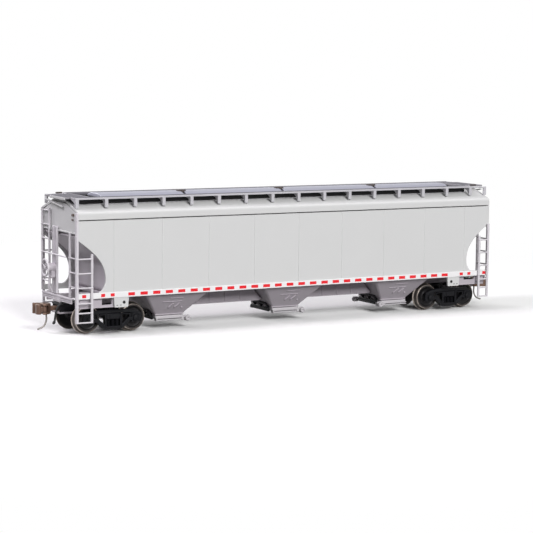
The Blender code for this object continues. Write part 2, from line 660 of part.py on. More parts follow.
def side_ladders():
    """Ladder at each end of each side.

    One end of a side has a wide ladder on the car's tall corner stile, the other a low and narrower one.
    """
    near = (-SIDE_FACE - STILE_DEPTH, -SIDE_FACE)
    corner = HALF_LENGTH + SEAT + STILE / 2
    kinds = {"b": (corner, corner - LADDER_WIDTH, STILE, ROOF_EDGE)}
    low_corner = HALF_LENGTH - LOW_INSET
    kinds["a"] = (low_corner, low_corner - LOW_WIDTH, 0, SEAM - CUT_BELOW)
    heights = rung_heights(FIRST_RUNG, RUNG_PITCH, SIDE_RUNGS)
    heights += rung_heights(LADDER_BOTTOM + RUNG / 2, STEP_PITCH, STEP_RUNGS)
    for side, end in SIDES.items():
        for hand, sign in (("b", -1), ("a", 1)):
            where = hand if end == "b" else {"b": "a", "a": "b"}[hand]
            look = paint(f"side_ladder_{side}_{where}_paint", GREY_BODY, 0.45)
            low = LADDER_BOTTOM
            outer, inner, deeper, top = kinds[hand]
            tall = ((sign * (outer - STILE / 2), sign * (outer + STILE / 2)),
                    (near[0], near[1] + deeper), (low, top))
            short = ((sign * (inner - STILE / 2), sign * (inner + STILE / 2)), near, (low, LADDER_TOP))
            made = piece(f"side_ladder_{side}_{where}", blocks("stiles", [tall, short]), look, ends[end])
            depth = (near[0] + OVER, near[0] + OVER + RUNG)
            across = (sign * inner, sign * outer)
            join(made, blocks("rungs", [(across, depth, (z - RUNG / 2, z + RUNG / 2)) for z in heights]))


def end_ladders():
    """A wide ladder with a handrail on one half of each end and a narrow one on the other half."""
    deep = (-END_FACE - STILE_DEPTH, -END_FACE)
    bar = (deep[0] + OVER, deep[0] + OVER + RUNG)
    foot = PLATFORM_TOP + SEAT
    wide = (HALF_WIDTH - 2 * STILE - WIDE_LADDER, HALF_WIDTH - 2 * STILE)
    heights = rung_heights(FIRST_RUNG, RUNG_PITCH, END_RUNGS)
    low = heights[2]
    rail_end = -NARROW_STILE + STILE / 2 + SEAT
    away = deep[0] - RAIL_AWAY
    held_at = (wide[0] - STILE / 4, wide[0] + STILE / 4)
    reach = -SIDE_FACE + STILE + SEAT
    for end, frame in ends.items():
        look = paint(f"wide_end_ladder_{end}_paint", GREY_BODY, 0.45)
        stiles = [(deep, (y - STILE / 2, y + STILE / 2), (foot, ROOF_EDGE)) for y in wide]
        made = piece(f"wide_end_ladder_{end}", blocks("stiles", stiles), look, frame)
        join(made, blocks("rungs", [(bar, wide, (z - RUNG / 2, z + RUNG / 2)) for z in heights]))
        join(made, blocks("handrail", [((away - RUNG, away), (rail_end, held_at[1]), (low, low + RUNG))]))
        held = ((away - OVER, deep[0] + OVER), (low + OVER, low + RUNG - OVER))
        join(made, blocks("standoff", [(held[0], (held_at[0], held_at[1] - OVER), held[1])]))
        look = paint(f"narrow_end_ladder_{end}_paint", GREY_BODY, 0.45)
        stile = (deep, (-NARROW_STILE - STILE / 2, -NARROW_STILE + STILE / 2), (foot, NARROW_TOP))
        made = piece(f"narrow_end_ladder_{end}", blocks("stile", [stile]), look, frame)
        short = (reach, -NARROW_STILE)
        join(made, blocks("rungs", [(bar, short, (z - RUNG / 2, z + RUNG / 2)) for z in heights[:3]]))


def end_platforms():
    """Tread and lip of the platform that the ladders and the brake post stand on."""
    out = -HALF_LENGTH - PLATFORM_PROUD
    half = PLATFORM_WIDTH / 2
    low = PLATFORM_TOP - PLATFORM_THICK
    lip = ((out + OVER, out + PLATFORM_THICK), (-half + OVER, half - OVER),
           (PLATFORM_TOP - PLATFORM_LIP, low + OVER))
    foot = ((out + 2 * OVER, -END_FACE - OVER), (-DRAFT_WIDTH / 2, DRAFT_WIDTH / 2),
            (DRAFT_TOP + SEAT, low + OVER))
    for end, frame in ends.items():
        look = paint(f"end_platform_{end}_paint", GREY_BODY, 0.5)
        data = blocks("tread", [((out, -END_FACE), (-half, half), (low, PLATFORM_TOP))])
        made = piece(f"end_platform_{end}", data, look, frame)
        join(made, blocks("lip", [lip]))
        join(made, blocks("foot", [foot]))


def hand_brake():
    """Brake post with its gear housing on the brake end, and the brake wheel in front."""
    deep = (-END_FACE - 1.2 * STILE_DEPTH, -END_FACE)
    near, far = POST_OFFSET - POST_WIDTH / 2, POST_OFFSET + POST_WIDTH / 2
    post = blocks("post", [(deep, (near, far), (PLATFORM_TOP + SEAT, END_SHEET_BOTTOM + 2 * MM))])
    made = piece("brake_post", post, paint("brake_post_paint", GREY_BODY, 0.5), ends["b"])
    box_front = deep[0] - HOUSING_DEPTH
    high = BRAKE_HEIGHT + HOUSING_HEIGHT / 4
    side = HOUSING_INSET
    housing = ((box_front, deep[0] + 3 * OVER), (near + side, far - side), (high - HOUSING_HEIGHT, high))
    join(made, blocks("housing", [housing]))
    hub = BRAKE_RIM * 2
    face = box_front - SEAT
    bm = bmesh.new()
    ring = Matrix.Rotation(math.pi / 2, 4, "Y")
    bpy.ops.mesh.primitive_torus_add(major_radius=BRAKE_RADIUS - BRAKE_RIM, minor_radius=BRAKE_RIM,
                                     major_segments=24, minor_segments=6)
    torus = bpy.context.object
    bm.from_mesh(torus.data)
    bpy.data.objects.remove(torus)
    bm.transform(ring)
    place = (face - BRAKE_RIM, POST_OFFSET, BRAKE_HEIGHT)
    look = paint("brake_wheel_paint", GREY_BODY, 0.5)
    wheel = piece("brake_wheel", mesh_of(bm, "rim"), look, ends["b"], place)
    reach = BRAKE_RADIUS - BRAKE_RIM
    spread = [math.tau * (turn + 0.5) / BRAKE_SPOKES for turn in range(BRAKE_SPOKES // 2)]
    for angle in spread:
        way = Vector((0, math.cos(angle) * reach, math.sin(angle) * reach))
        join(wheel, rods("spoke", [(-way, way)], BRAKE_RIM * 0.6, 6))
    join(wheel, rods("hub", [((-BRAKE_RIM * 1.1, 0, 0), (BRAKE_RIM * 0.9, 0, 0))], hub, 12))


def draft_gear():
    """Draft box, coupler, knuckle, trip pin and air hose of each end."""
    mouth = -HALF_LENGTH - DRAFT_OUT
    back = mouth + DRAFT_LENGTH
    low = COUPLER_HEIGHT - DRAFT_HEIGHT / 2
    half = DRAFT_WIDTH / 2
    pivot = back - DRAFT_WALL - EYE_RADIUS - SHANK_PLAY
    slot = ((mouth - MM, back - DRAFT_WALL), (-half + DRAFT_WALL, half - DRAFT_WALL),
            (low + DRAFT_WALL, DRAFT_TOP - DRAFT_WALL))
    post = ((pivot, 0, low + DRAFT_WALL / 2), (pivot, 0, DRAFT_TOP - DRAFT_WALL / 2))
    for end, frame in ends.items():
        look = paint(f"draft_box_{end}_paint", GREY_SHADE, 0.55)
        box = blocks("box", [((mouth, back), (-half, half), (low, DRAFT_TOP))])
        made = piece(f"draft_box_{end}", box, look, frame)
        cut(made, blocks("slot", [slot]))
        join(made, rods("post", [post], COUPLER_PIN, 12))
        swing = empty(f"coupler_swing_{end}", frame, (pivot, 0, COUPLER_HEIGHT))
        coupler(end, swing, pivot)
        look = paint(f"air_hose_{end}_rubber", BLACK, 0.6)
        top = PLATFORM_TOP - PLATFORM_LIP - SEAT
        x = -HALF_LENGTH - PLATFORM_PROUD + HOSE_RADIUS
        y = -half - HOSE_GAP
        path = [(x - HOSE_REACH * out, y, top - HOSE_DROP * down) for out, down in HOSE_BEND]
        piece(f"air_hose_{end}", tube("hose", path, HOSE_RADIUS), look, frame)


def coupler(end, swing, pivot):
    """Coupler head with guard arm, its hinged knuckle and its trip pin, about the shank's pivot."""
    nose = -PULLING_FACE - pivot
    throat = nose + HEAD_LENGTH * 0.42
    neck = nose + HEAD_LENGTH
    wide, shank = GUARD_WIDTH, SHANK_WIDTH / 2
    half = HEAD_HEIGHT / 2
    look = paint(f"coupler_{end}_metal", BROWN, 0.45, 0.6)
    tall = SHANK_HEIGHT / 2
    bar = blocks("shank", [((neck - MM, -EYE_RADIUS / 2), (-shank, shank), (-tall, tall))])
    head = piece(f"coupler_head_{end}", bar, look, swing)
    join(head, rods("eye", [((0, 0, -tall), (0, 0, tall))], EYE_RADIUS, 16))
    hinge = (throat + KNUCKLE_EYE * 0.6, -wide + KNUCKLE_EYE * 1.15)
    flare, lip = neck - HEAD_LENGTH / 4, 0.5 * MM
    root = [(flare, -wide + 1.4 * lip), (neck, -shank - 0.6 * lip)]
    root += [(neck, shank + 0.6 * lip), (flare, wide - lip)]
    guard = [(throat, wide), (nose + lip, wide + lip)]
    guard += [(nose + 0.4 * lip, wide - lip), (throat - lip, wide / 2)]
    jaw = [(throat, 0.4 * lip), (throat + 0.6 * lip, hinge[1]),
           (throat - 0.8 * lip, hinge[1] - 0.9 * KNUCKLE_EYE), (throat + 2 * lip, -wide)]
    join(head, slab("head", root + guard + jaw, "XY", -half, half))
    pocket = KNUCKLE_TALL / 2 + SEAT
    clear = KNUCKLE_EYE + SEAT
    cut(head, rods("pocket", [((*hinge, -pocket), (*hinge, pocket))], clear, 16))
    reach = throat - 1.5 * MM
    across = (hinge[1] - clear, hinge[1] + clear)
    cut(head, blocks("mouth", [((reach, hinge[0]), across, (-pocket, pocket))]))
    join(head, rods("rivet", [((*hinge, -half * 0.8), (*hinge, half * 0.8))], KNUCKLE_PIN, 10))
    cut(head, rods("bore", [((0, 0, -2 * tall), (0, 0, 2 * tall))], COUPLER_PIN + SHANK_PLAY, 16))
    knuckle(end, swing, hinge, nose, throat)
    look = paint(f"trip_pin_{end}_metal", BROWN, 0.4, 0.7)
    top = -half - SEAT
    drop = COUPLER_HEIGHT - half - SEAT - PIN_ABOVE
    x = throat + PIN_BACK
    path = [(x - PIN_REACH * out, 0, top - drop * down) for out, down in PIN_BEND]
    piece(f"trip_pin_{end}", tube("pin", path, PIN_WIRE), look, swing)


def knuckle(end, swing, hinge, nose, throat):
    """Knuckle that turns about its rivet, closed at rest."""
    tall = KNUCKLE_TALL / 2
    look = paint(f"knuckle_{end}_metal", BROWN, 0.45, 0.6)
    tip = nose - hinge[0]
    clear = throat - SEAT - 0.7 * MM - hinge[0]
    data = rods("eye", [((0, 0, -tall), (0, 0, tall))], KNUCKLE_EYE, 14)
    made = piece(f"knuckle_{end}", data, look, swing, (*hinge, 0))
    face = HEAD_HEIGHT / 2 - 0.1 * MM
    wide = 0.8 * KNUCKLE_EYE
    arm = ((clear - 5 * OVER, 0), (-wide, wide), (-tall + OVER / 2, tall - OVER / 2))
    join(made, blocks("arm", [arm]))
    back = tip + 1.2 * KNUCKLE_EYE
    hook = [(clear, -KNUCKLE_EYE * 0.9), (clear, wide), (back, KNUCKLE_EYE * 1.4)]
    hook += [(back, -hinge[1] + 3 * OVER), (tip + 2 * OVER, -hinge[1])]
    hook += [(tip, 0), (tip + 7 * OVER, -KNUCKLE_EYE)]
    join(made, slab("hook", hook, "XY", -face, face))
    cut(made, rods("bore", [((0, 0, -2 * tall), (0, 0, 2 * tall))], KNUCKLE_PIN + 0.2 * MM, 10))


def wheelset(name, parent, x):
    """Two wheels on an axle whose ends run in the journal boxes, turned about its own axis."""
    flange = TREAD_RADIUS + FLANGE_HEIGHT
    rim = TREAD_RADIUS - RIM_DEPTH
    hub = AXLE_RADIUS * 1.7
    dish = WHEEL_WIDTH / 4
    end = FRAME_IN + JOURNAL_REACH
    boss = WHEEL_FACE + FRAME_PLAY / 4
    journal = [(0, end), (JOURNAL_RADIUS, end), (JOURNAL_RADIUS, boss + 2 * OVER), (hub, boss)]
    web = [(hub + 3 * OVER, WHEEL_FACE - dish), (rim - 4 * OVER, WHEEL_FACE - dish), (rim, WHEEL_FACE)]
    tread = [(TREAD_RADIUS, WHEEL_FACE), (TREAD_RADIUS, WHEEL_BACK + FLANGE_WIDTH)]
    tread += [(flange, WHEEL_BACK + FLANGE_WIDTH * 0.6), (flange, WHEEL_BACK), (rim, WHEEL_BACK)]
    axle = [(hub, WHEEL_BACK + OVER), (AXLE_RADIUS, WHEEL_BACK - 3 * OVER)]
    half = journal + web + tread + axle
    profile = half + [(r, -h) for r, h in reversed(half)]
    look = paint(f"{name}_metal", STEEL, 0.35, 0.9)
    made = turned(name, profile, look, parent, (x, 0, TREAD_RADIUS), 24)
    made.rotation_euler = (math.pi / 2, 0, 0)


def side_frame(name, parent, sign):
    """Cast side frame with its two journal boxes, window and spring pack."""
    axle = WHEELBASE / 2
    end = axle + FRAME_END
    box_top, box_low = TREAD_RADIUS + BOX_HALF, TREAD_RADIUS - BOX_HALF
    window = WINDOW_LENGTH / 2
    column = window + COLUMN_WIDTH
    half = [(end, box_low), (end, box_top), (axle, box_top + BOX_HALF / 2), (column, FRAME_TOP)]
    half = list(reversed(half)) + [(axle - BOX_HALF, box_low), (column, FRAME_BOTTOM)]
    outline = half + [(-x, z) for x, z in reversed(half)]
    inner, outer = sign * FRAME_IN, sign * FRAME_OUT
    data = slab("frame", outline, "XZ", min(inner, outer), max(inner, outer))
    made = piece(name, data, paint(f"{name}_plastic", BLACK, 0.5), parent)
    across = sorted((sign * (FRAME_IN - MM), sign * (FRAME_OUT + MM)))
    cut(made, blocks("window", [((-window, window), across, (WINDOW_BOTTOM, WINDOW_TOP))]))
    tip = axle - BOX_HALF - 5 * OVER
    for hand in (-1, 1):
        hole = [(column, WINDOW_TOP - 3 * OVER), (column, FRAME_BOTTOM + BOX_HALF)]
        hole += [(tip, box_low + BOX_HALF / 2), (tip, box_top - 2 * OVER)]
        cut(made, slab("hole", [(hand * x, z) for x, z in hole], "XZ", *across))
    deep = sign * (FRAME_IN + JOURNAL_REACH + JOURNAL_PLAY)
    seats = [((x, inner - sign * MM, TREAD_RADIUS), (x, deep, TREAD_RADIUS)) for x in (-axle, axle)]
    cut(made, rods("journals", seats, JOURNAL_RADIUS + JOURNAL_PLAY, 12))
    proud = sign * CAP_PROUD
    caps = [((x, outer - proud, TREAD_RADIUS), (x, outer + proud, TREAD_RADIUS)) for x in (-axle, axle)]
    join(made, rods("caps", caps, BOX_HALF * 0.75, 12))
    join(made, spring_pack(sign))


def spun(profile, steps, place):
    """A closed bmesh of (radius, height) points from axis to axis, spun about Z and moved by a matrix."""
    bm = bmesh.new()
    line = [bm.verts.new((r, 0, h)) for r, h in profile]
    chain = [bm.edges.new(pair) for pair in zip(line, line[1:])]
    bmesh.ops.spin(bm, geom=line + chain, cent=(0, 0, 0), axis=(0, 0, 1), angle=math.tau,
                   steps=steps, use_merge=True)
    bmesh.ops.remove_doubles(bm, verts=bm.verts, dist=1e-7)
    bm.transform(place)
    return bm


def spring_pack(sign):
    """Moulded springs of the truck: ribbed posts from the window's foot to the bolster's end."""
    foot, head = WINDOW_BOTTOM - 0.3 * MM, BOLSTER_TOP - BOLSTER_DEPTH - SEAT
    pitch = (head - foot) / SPRING_RIBS
    groove = 0.72 * SPRING_RADIUS
    profile = [(0, head), (groove, head)]
    for rib in range(SPRING_RIBS):
        profile += [(SPRING_RADIUS, head - (rib + 0.5) * pitch), (groove, head - (rib + 1) * pitch)]
    profile.append((0, foot))
    reach = WINDOW_LENGTH / 2 - SPRING_RADIUS - 0.25 * MM
    y = sign * (FRAME_IN + FRAME_OUT) / 2
    pack = bmesh.new()
    for place in range(SPRING_COUNT):
        x = reach * (2 * place / (SPRING_COUNT - 1) - 1)
        post = bpy.data.meshes.new("post")
        spring = spun(profile, 8, Matrix.Translation((x, y, 0)))
        spring.to_mesh(post)
        spring.free()
        pack.from_mesh(post)
    return mesh_of(pack, "springs")


def trucks():
    for end, frame in ends.items():
        pivot = empty(f"truck_pivot_{end}", frame, (-PIVOT_X, 0, 0))
        window = WINDOW_LENGTH / 2 - SEAT
        low = BOLSTER_TOP - BOLSTER_DEPTH
        beam = blocks("bolster", [((-window, window), (-FRAME_OUT, FRAME_OUT), (low, BOLSTER_TOP))])
        made = piece(f"truck_bolster_{end}", beam, paint(f"truck_bolster_{end}_plastic", BLACK, 0.5), pivot)
        join(made, rods("plate", [((0, 0, low + 0.1 * MM), (0, 0, PLATE_TOP))], PLATE_RADIUS, 20))
        bore = PIN_RADIUS + PIN_PLAY
        cut(made, rods("bore", [((0, 0, low - MM), (0, 0, PLATE_TOP + MM))], bore, 14))
        for side, sign in (("right", -1), ("left", 1)):
            hand = side if end == "b" else {"right": "left", "left": "right"}[side]
            side_frame(f"side_frame_{end}_{hand}", pivot, sign)
        for where, x in (("outer", -WHEELBASE / 2), ("inner", WHEELBASE / 2)):
            wheelset(f"wheelset_{end}_{where}", pivot, x)
        head = low - SEAT
        top = FLOOR_HIGH - SEAT
        shaft = [(0, top), (PIN_RADIUS, top), (PIN_RADIUS, head)]
        screw = shaft + [(PIN_HEAD, head), (PIN_HEAD, head - MM), (0, head - MM)]
        look = paint(f"king_pin_{end}_steel", STEEL, 0.35, 1.0)
        turned(f"king_pin_{end}", screw, look, frame, (-PIVOT_X, 0, 0), 14)


side_sheets()
roof()
end_sheets()
slope_sheets()
floor_and_weight()
hopper_bays()
stub_sills()
running_boards()
crosswalks()
hatch_covers()
side_ladders()
end_ladders()
end_platforms()
hand_brake()
draft_gear()
trucks()
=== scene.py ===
"""Model covered hopper car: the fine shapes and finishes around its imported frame.

Lengths are in millimetres above the rail top until a piece is fitted. +X is the plain end a and -Y
the right side. What both ends or both sides have is worked out once, for end b or for the right
side, and turned half a circle about Z for the other.
"""

import math

import bmesh
import bpy
import numpy as np
from mathutils import Matrix, Vector


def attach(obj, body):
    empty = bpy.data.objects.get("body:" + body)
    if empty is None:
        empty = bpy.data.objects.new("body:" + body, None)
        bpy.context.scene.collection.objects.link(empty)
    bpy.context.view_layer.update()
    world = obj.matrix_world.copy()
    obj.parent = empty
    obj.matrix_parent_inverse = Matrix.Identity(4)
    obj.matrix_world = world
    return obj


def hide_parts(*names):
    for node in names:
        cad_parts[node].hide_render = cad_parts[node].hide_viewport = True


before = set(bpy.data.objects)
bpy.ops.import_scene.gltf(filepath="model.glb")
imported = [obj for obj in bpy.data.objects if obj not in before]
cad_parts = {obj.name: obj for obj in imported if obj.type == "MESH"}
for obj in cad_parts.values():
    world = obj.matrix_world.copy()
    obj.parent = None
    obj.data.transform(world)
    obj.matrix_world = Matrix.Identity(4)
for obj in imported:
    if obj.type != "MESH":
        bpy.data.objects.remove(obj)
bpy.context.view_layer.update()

# Studio: a white table that runs on into white, a large soft lamp before the car, a fill at the brake
# end, weak lamps above and behind it, and a weak sky. The camera stands to the left, a little above.
scene = bpy.context.scene
scene.view_settings.view_transform = "Standard"
SKY_LIGHT = 0.17
TABLE_LIGHT = 0.135
TABLE_REACH = 30.0
TABLE_FADE = (0.13, 0.34)
LAMP_AIM = Vector((0, 0, 0.03))
CAMERA_AIM = Vector((0, 0, 0.02496))
CAMERA_DISTANCE = 0.7717


def look_from(azimuth, elevation, roll):
    """Right, up and back of a camera that stands at these angles round the car, in degrees."""
    a, e, r = np.radians((azimuth, elevation, roll))
    back = Vector((math.sin(a) * math.cos(e), -math.cos(a) * math.cos(e), math.sin(e)))
    right = Vector((0, 0, 1)).cross(back).normalized()
    up = back.cross(right)
    right, up = right * math.cos(r) + up * math.sin(r), up * math.cos(r) - right * math.sin(r)
    return right, up, back


right, up, back = look_from(-30.35, 6.27, 0.68)
camera = bpy.data.objects.new("camera", bpy.data.cameras.new("camera"))
turn = Matrix((right, up, back)).transposed().to_4x4()
camera.matrix_world = Matrix.Translation(CAMERA_AIM + back * CAMERA_DISTANCE) @ turn
camera.data.lens = 123.2
camera.data.shift_x = -0.0160
camera.data.shift_y = -0.0144
camera.data.clip_start = 0.01
scene.collection.objects.link(camera)
scene.camera = camera


def lamp(name, spot, size, watts, colour=(1, 1, 1)):
    """A square soft lamp at a spot, turned towards the middle of the car."""
    data = bpy.data.lights.new(name, "AREA")
    data.size, data.energy, data.color = size, watts, colour
    made = bpy.data.objects.new(name, data)
    made.location = spot
    made.rotation_mode = "QUATERNION"
    made.rotation_quaternion = (LAMP_AIM - Vector(spot)).to_track_quat("-Z", "Y")
    scene.collection.objects.link(made)


lamp("front_lamp", (-0.16, -1.93, 1.0), 0.8, 43.0)
lamp("end_lamp", (-0.8, 0.12, 0.8), 0.4, 5.9, (1.0, 0.95, 1.03))
lamp("top_lamp", (0.0, -0.35, 1.1), 0.8, 2.2)
lamp("back_lamp", (-0.5, 1.65, 0.75), 0.8, 13.0)


def math_node(tree, operation, first, second=0.0):
    """The result of a math node whose two inputs are numbers or other nodes' results."""
    made = tree.nodes.new("ShaderNodeMath")
    made.operation = operation
    for socket, value in zip(made.inputs, (first, second)):
        if isinstance(value, (int, float)):
            socket.default_value = value
        else:
            tree.links.new(value, socket)
    return made.outputs[0]


def white_seen(tree, strength):
    """One where the camera, a reflection or clear glass looks, and the given strength for other light."""
    path = tree.nodes.new("ShaderNodeLightPath")
    seen = math_node(tree, "MAXIMUM", path.outputs["Is Camera Ray"], path.outputs["Is Glossy Ray"])
    seen = math_node(tree, "MAXIMUM", seen, path.outputs["Is Transmission Ray"])
    level = tree.nodes.new("ShaderNodeMapRange")
    level.inputs["To Min"].default_value = strength
    tree.links.new(seen, level.inputs["Value"])
    return level.outputs["Result"]


world = bpy.data.worlds.new("sky")
world.use_nodes = True
scene.world = world
sky = world.node_tree.nodes["Background"]
sky.inputs["Color"].default_value = (1, 1, 1, 1)
world.node_tree.links.new(white_seen(world.node_tree, SKY_LIGHT), sky.inputs["Strength"])

table_mesh = bpy.data.meshes.new("table")
table_corners = np.array([(-1, -1, 0), (1, -1, 0), (1, 1, 0), (-1, 1, 0)]) * TABLE_REACH
table_mesh.from_pydata(table_corners, [], [(0, 1, 2, 3)])
table = bpy.data.objects.new("table", table_mesh)
table.location.z = -0.0001
scene.collection.objects.link(table)
table_white = bpy.data.materials.new("table_white")
table_white.use_nodes = True
tree = table_white.node_tree
surface = tree.nodes["Principled BSDF"]
seen_white = white_seen(tree, TABLE_LIGHT)
tree.links.new(seen_white, surface.inputs["Base Color"])
surface.inputs["Roughness"].default_value = 0.9
glow = tree.nodes.new("ShaderNodeEmission")
tree.links.new(seen_white, glow.inputs["Strength"])
place = tree.nodes.new("ShaderNodeTexCoord")
away = tree.nodes.new("ShaderNodeVectorMath")
away.operation = "LENGTH"
tree.links.new(place.outputs["Object"], away.inputs[0])
ramp = tree.nodes.new("ShaderNodeMapRange")
ramp.interpolation_type = "SMOOTHSTEP"
ramp.inputs["From Min"].default_value = TABLE_FADE[0]
ramp.inputs["From Max"].default_value = TABLE_FADE[1]
tree.links.new(away.outputs["Value"], ramp.inputs["Value"])
fade = tree.nodes.new("ShaderNodeMixShader")
tree.links.new(ramp.outputs["Result"], fade.inputs["Fac"])
tree.links.new(surface.outputs[0], fade.inputs[1])
tree.links.new(glow.outputs[0], fade.inputs[2])
tree.links.new(fade.outputs[0], tree.nodes["Material Output"].inputs["Surface"])
table_mesh.materials.append(table_white)

# Wheelsets: turned metal wheels pressed on an axle. The webs are blackened, while treads and flanges
# are bare metal, brown with handling.
RAIL = 0.7
AXLE_HEIGHT = 5.25
TRUCK_X = 81.4
AXLE_OFFSET = 9.9
SHARP_TURN = math.radians(40)
ACROSS = (0, 1, 0)


def unit(vectors):
    """Vectors brought to length one."""
    return vectors / np.linalg.norm(vectors, axis=-1, keepdims=True)


def quads(rows, columns):
    """Faces between neighbouring points of a grid whose columns close up on themselves."""
    i, j = np.mgrid[0:rows - 1, 0:columns]
    k = (j + 1) % columns
    ring = [i * columns + j, (i + 1) * columns + j, (i + 1) * columns + k, i * columns + k]
    return np.stack(ring, -1).reshape(-1, 4).tolist()


def lathe(profile, centre, axis, steps=48, bare=None):
    """A profile of (radius, height) points spun about an axis through the centre.

    A point is centre + height * axis + radius * (cos t * side + sin t * lift) with t round the circle.
    """
    profile = np.asarray(profile, float)
    axis = unit(np.asarray(axis, float))
    side = unit(np.cross(axis, (0.31, 0.52, 0.79)))
    lift = np.cross(axis, side)
    t = np.linspace(0, 2 * np.pi, steps, endpoint=False)
    ring = np.cos(t)[:, None] * side + np.sin(t)[:, None] * lift
    points = profile[:, 0, None, None] * ring + profile[:, 1, None, None] * axis + np.asarray(centre)
    marks = np.zeros(len(profile)) if bare is None else np.asarray(bare, float)
    return points.reshape(-1, 3), quads(len(profile), steps), np.repeat(marks, steps)


def even_normals(mesh):
    """Normals that keep flat faces flat: at each corner the mean of the faces there, weighted by area.

    Where a face turns away from that mean by more than the sharp turn, its corner keeps its own normal.
    """
    count = len(mesh.polygons)
    corner, sides = np.empty(len(mesh.loops), np.int32), np.empty(count, np.int32)
    normal, area = np.empty(3 * count, np.float32), np.empty(count, np.float32)
    mesh.loops.foreach_get("vertex_index", corner)
    mesh.polygons.foreach_get("loop_total", sides)
    mesh.polygons.foreach_get("normal", normal)
    mesh.polygons.foreach_get("area", area)
    owner = np.repeat(np.arange(count), sides)
    own = normal.reshape(-1, 3)[owner].astype(float)
    mean = np.zeros((len(mesh.vertices), 3))
    np.add.at(mean, corner, own * area[owner, None])
    mean = unit(mean)[corner]
    away = np.sum(mean * own, axis=1) < math.cos(SHARP_TURN)
    mesh.normals_split_custom_set(np.where(away[:, None], own, mean).tolist())


def fit(name, parts, look, body, slot, *nodes):
    """Makes parts in millimetres one piece in metres, which rides on a body and stands for CAD nodes."""
    counts = np.cumsum([0] + [len(part[0]) for part in parts])
    faces = [[n + start for n in face] for part, start in zip(parts, counts) for face in part[1]]
    points = np.concatenate([part[0] for part in parts])
    mesh = bpy.data.meshes.new(name)
    mesh.from_pydata((points + (0, 0, RAIL)) * 0.001, [], faces)
    wear_and_highlight_marks = mesh.attributes.new("edge", "FLOAT", "POINT")
    wear_and_highlight_marks.data.foreach_set("value", np.concatenate([part[2] for part in parts]).astype(np.float32))
    bm = bmesh.new()
    bm.from_mesh(mesh)
    bmesh.ops.remove_doubles(bm, verts=bm.verts, dist=1e-8)
    bmesh.ops.dissolve_degenerate(bm, edges=bm.edges, dist=1e-8)
    bmesh.ops.recalc_face_normals(bm, faces=bm.faces)
    bm.to_mesh(mesh)
    bm.free()
    mesh.shade_smooth()
    even_normals(mesh)
    mesh.materials.append(look)
    made = bpy.data.objects.new(name, mesh)
    scene.collection.objects.link(made)
    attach(made, body)
    if nodes:
        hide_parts(*nodes)


def finish_group():
    """Node group of a painted or moulded skin.

    The colour is mottled slowly and goes over to the edge colour by the piece's own edge attribute,
    broken up by noise. On paint and plastic the lighter edge colour is a painted highlight along
    rounded edges, and on the metal parts it is bare metal rubbed through. The same noise varies the
    roughness, and the height is a fine grain.
    """
    group = bpy.data.node_groups.new("worn_and_highlit_skin", "ShaderNodeTree")
    sockets = group.interface
    for name, kind, value in (("Colour", "Color", (0.5, 0.5, 0.5, 1)),
                              ("Edge colour", "Color", (1, 1, 1, 1)),
                              ("Mottle", "Float", 0.08), ("Edge wear", "Float", 0.3),
                              ("Roughness", "Float", 0.45), ("Grain size", "Float", 2600.0)):
        sockets.new_socket(name, in_out="INPUT", socket_type=f"NodeSocket{kind}").default_value = value
    for name, kind in (("Colour", "Color"), ("Roughness", "Float"), ("Height", "Float")):
        sockets.new_socket(name, in_out="OUTPUT", socket_type=f"NodeSocket{kind}")
    nodes, links = group.nodes, group.links
    given, result = nodes.new("NodeGroupInput"), nodes.new("NodeGroupOutput")
    where = nodes.new("ShaderNodeTexCoord")

    def noise(detail):
        made = nodes.new("ShaderNodeTexNoise")
        made.inputs["Detail"].default_value = detail
        links.new(where.outputs["Object"], made.inputs["Vector"])
        return made

    slow, patch, fine = noise(3.0), noise(3.0), noise(4.0)
    slow.inputs["Scale"].default_value = 55.0
    patch.inputs["Scale"].default_value = 420.0
    links.new(given.outputs["Grain size"], fine.inputs["Scale"])
    drift = math_node(group, "SUBTRACT", slow.outputs["Fac"], 0.5)
    tone = math_node(group, "MULTIPLY", drift, given.outputs["Mottle"])
    level = math_node(group, "ADD", tone, 1.0)
    grey = nodes.new("ShaderNodeCombineColor")
    for channel in grey.inputs:
        links.new(level, channel)
    tint = nodes.new("ShaderNodeMix")
    tint.data_type, tint.blend_type = "RGBA", "MULTIPLY"
    tint.inputs["Factor"].default_value = 1.0
    links.new(given.outputs["Colour"], tint.inputs["A"])
    links.new(grey.outputs["Color"], tint.inputs["B"])
    mark = nodes.new("ShaderNodeAttribute")
    mark.attribute_name = "edge"
    spread = math_node(group, "ADD", patch.outputs["Fac"], 0.25)
    broken = math_node(group, "MULTIPLY", mark.outputs["Fac"], spread)
    coat = nodes.new("ShaderNodeMix")
    coat.data_type = "RGBA"
    links.new(math_node(group, "MULTIPLY", broken, given.outputs["Edge wear"]), coat.inputs["Factor"])
    links.new(tint.outputs["Result"], coat.inputs["A"])
    links.new(given.outputs["Edge colour"], coat.inputs["B"])
    links.new(coat.outputs["Result"], result.inputs["Colour"])
    swing = math_node(group, "MULTIPLY", math_node(group, "SUBTRACT", patch.outputs["Fac"], 0.5), 0.16)
    rough = math_node(group, "ADD", given.outputs["Roughness"], swing)
    links.new(rough, result.inputs["Roughness"])
    links.new(fine.outputs["Fac"], result.inputs["Height"])
    return group


WORN_AND_HIGHLIT_SKIN = finish_group()


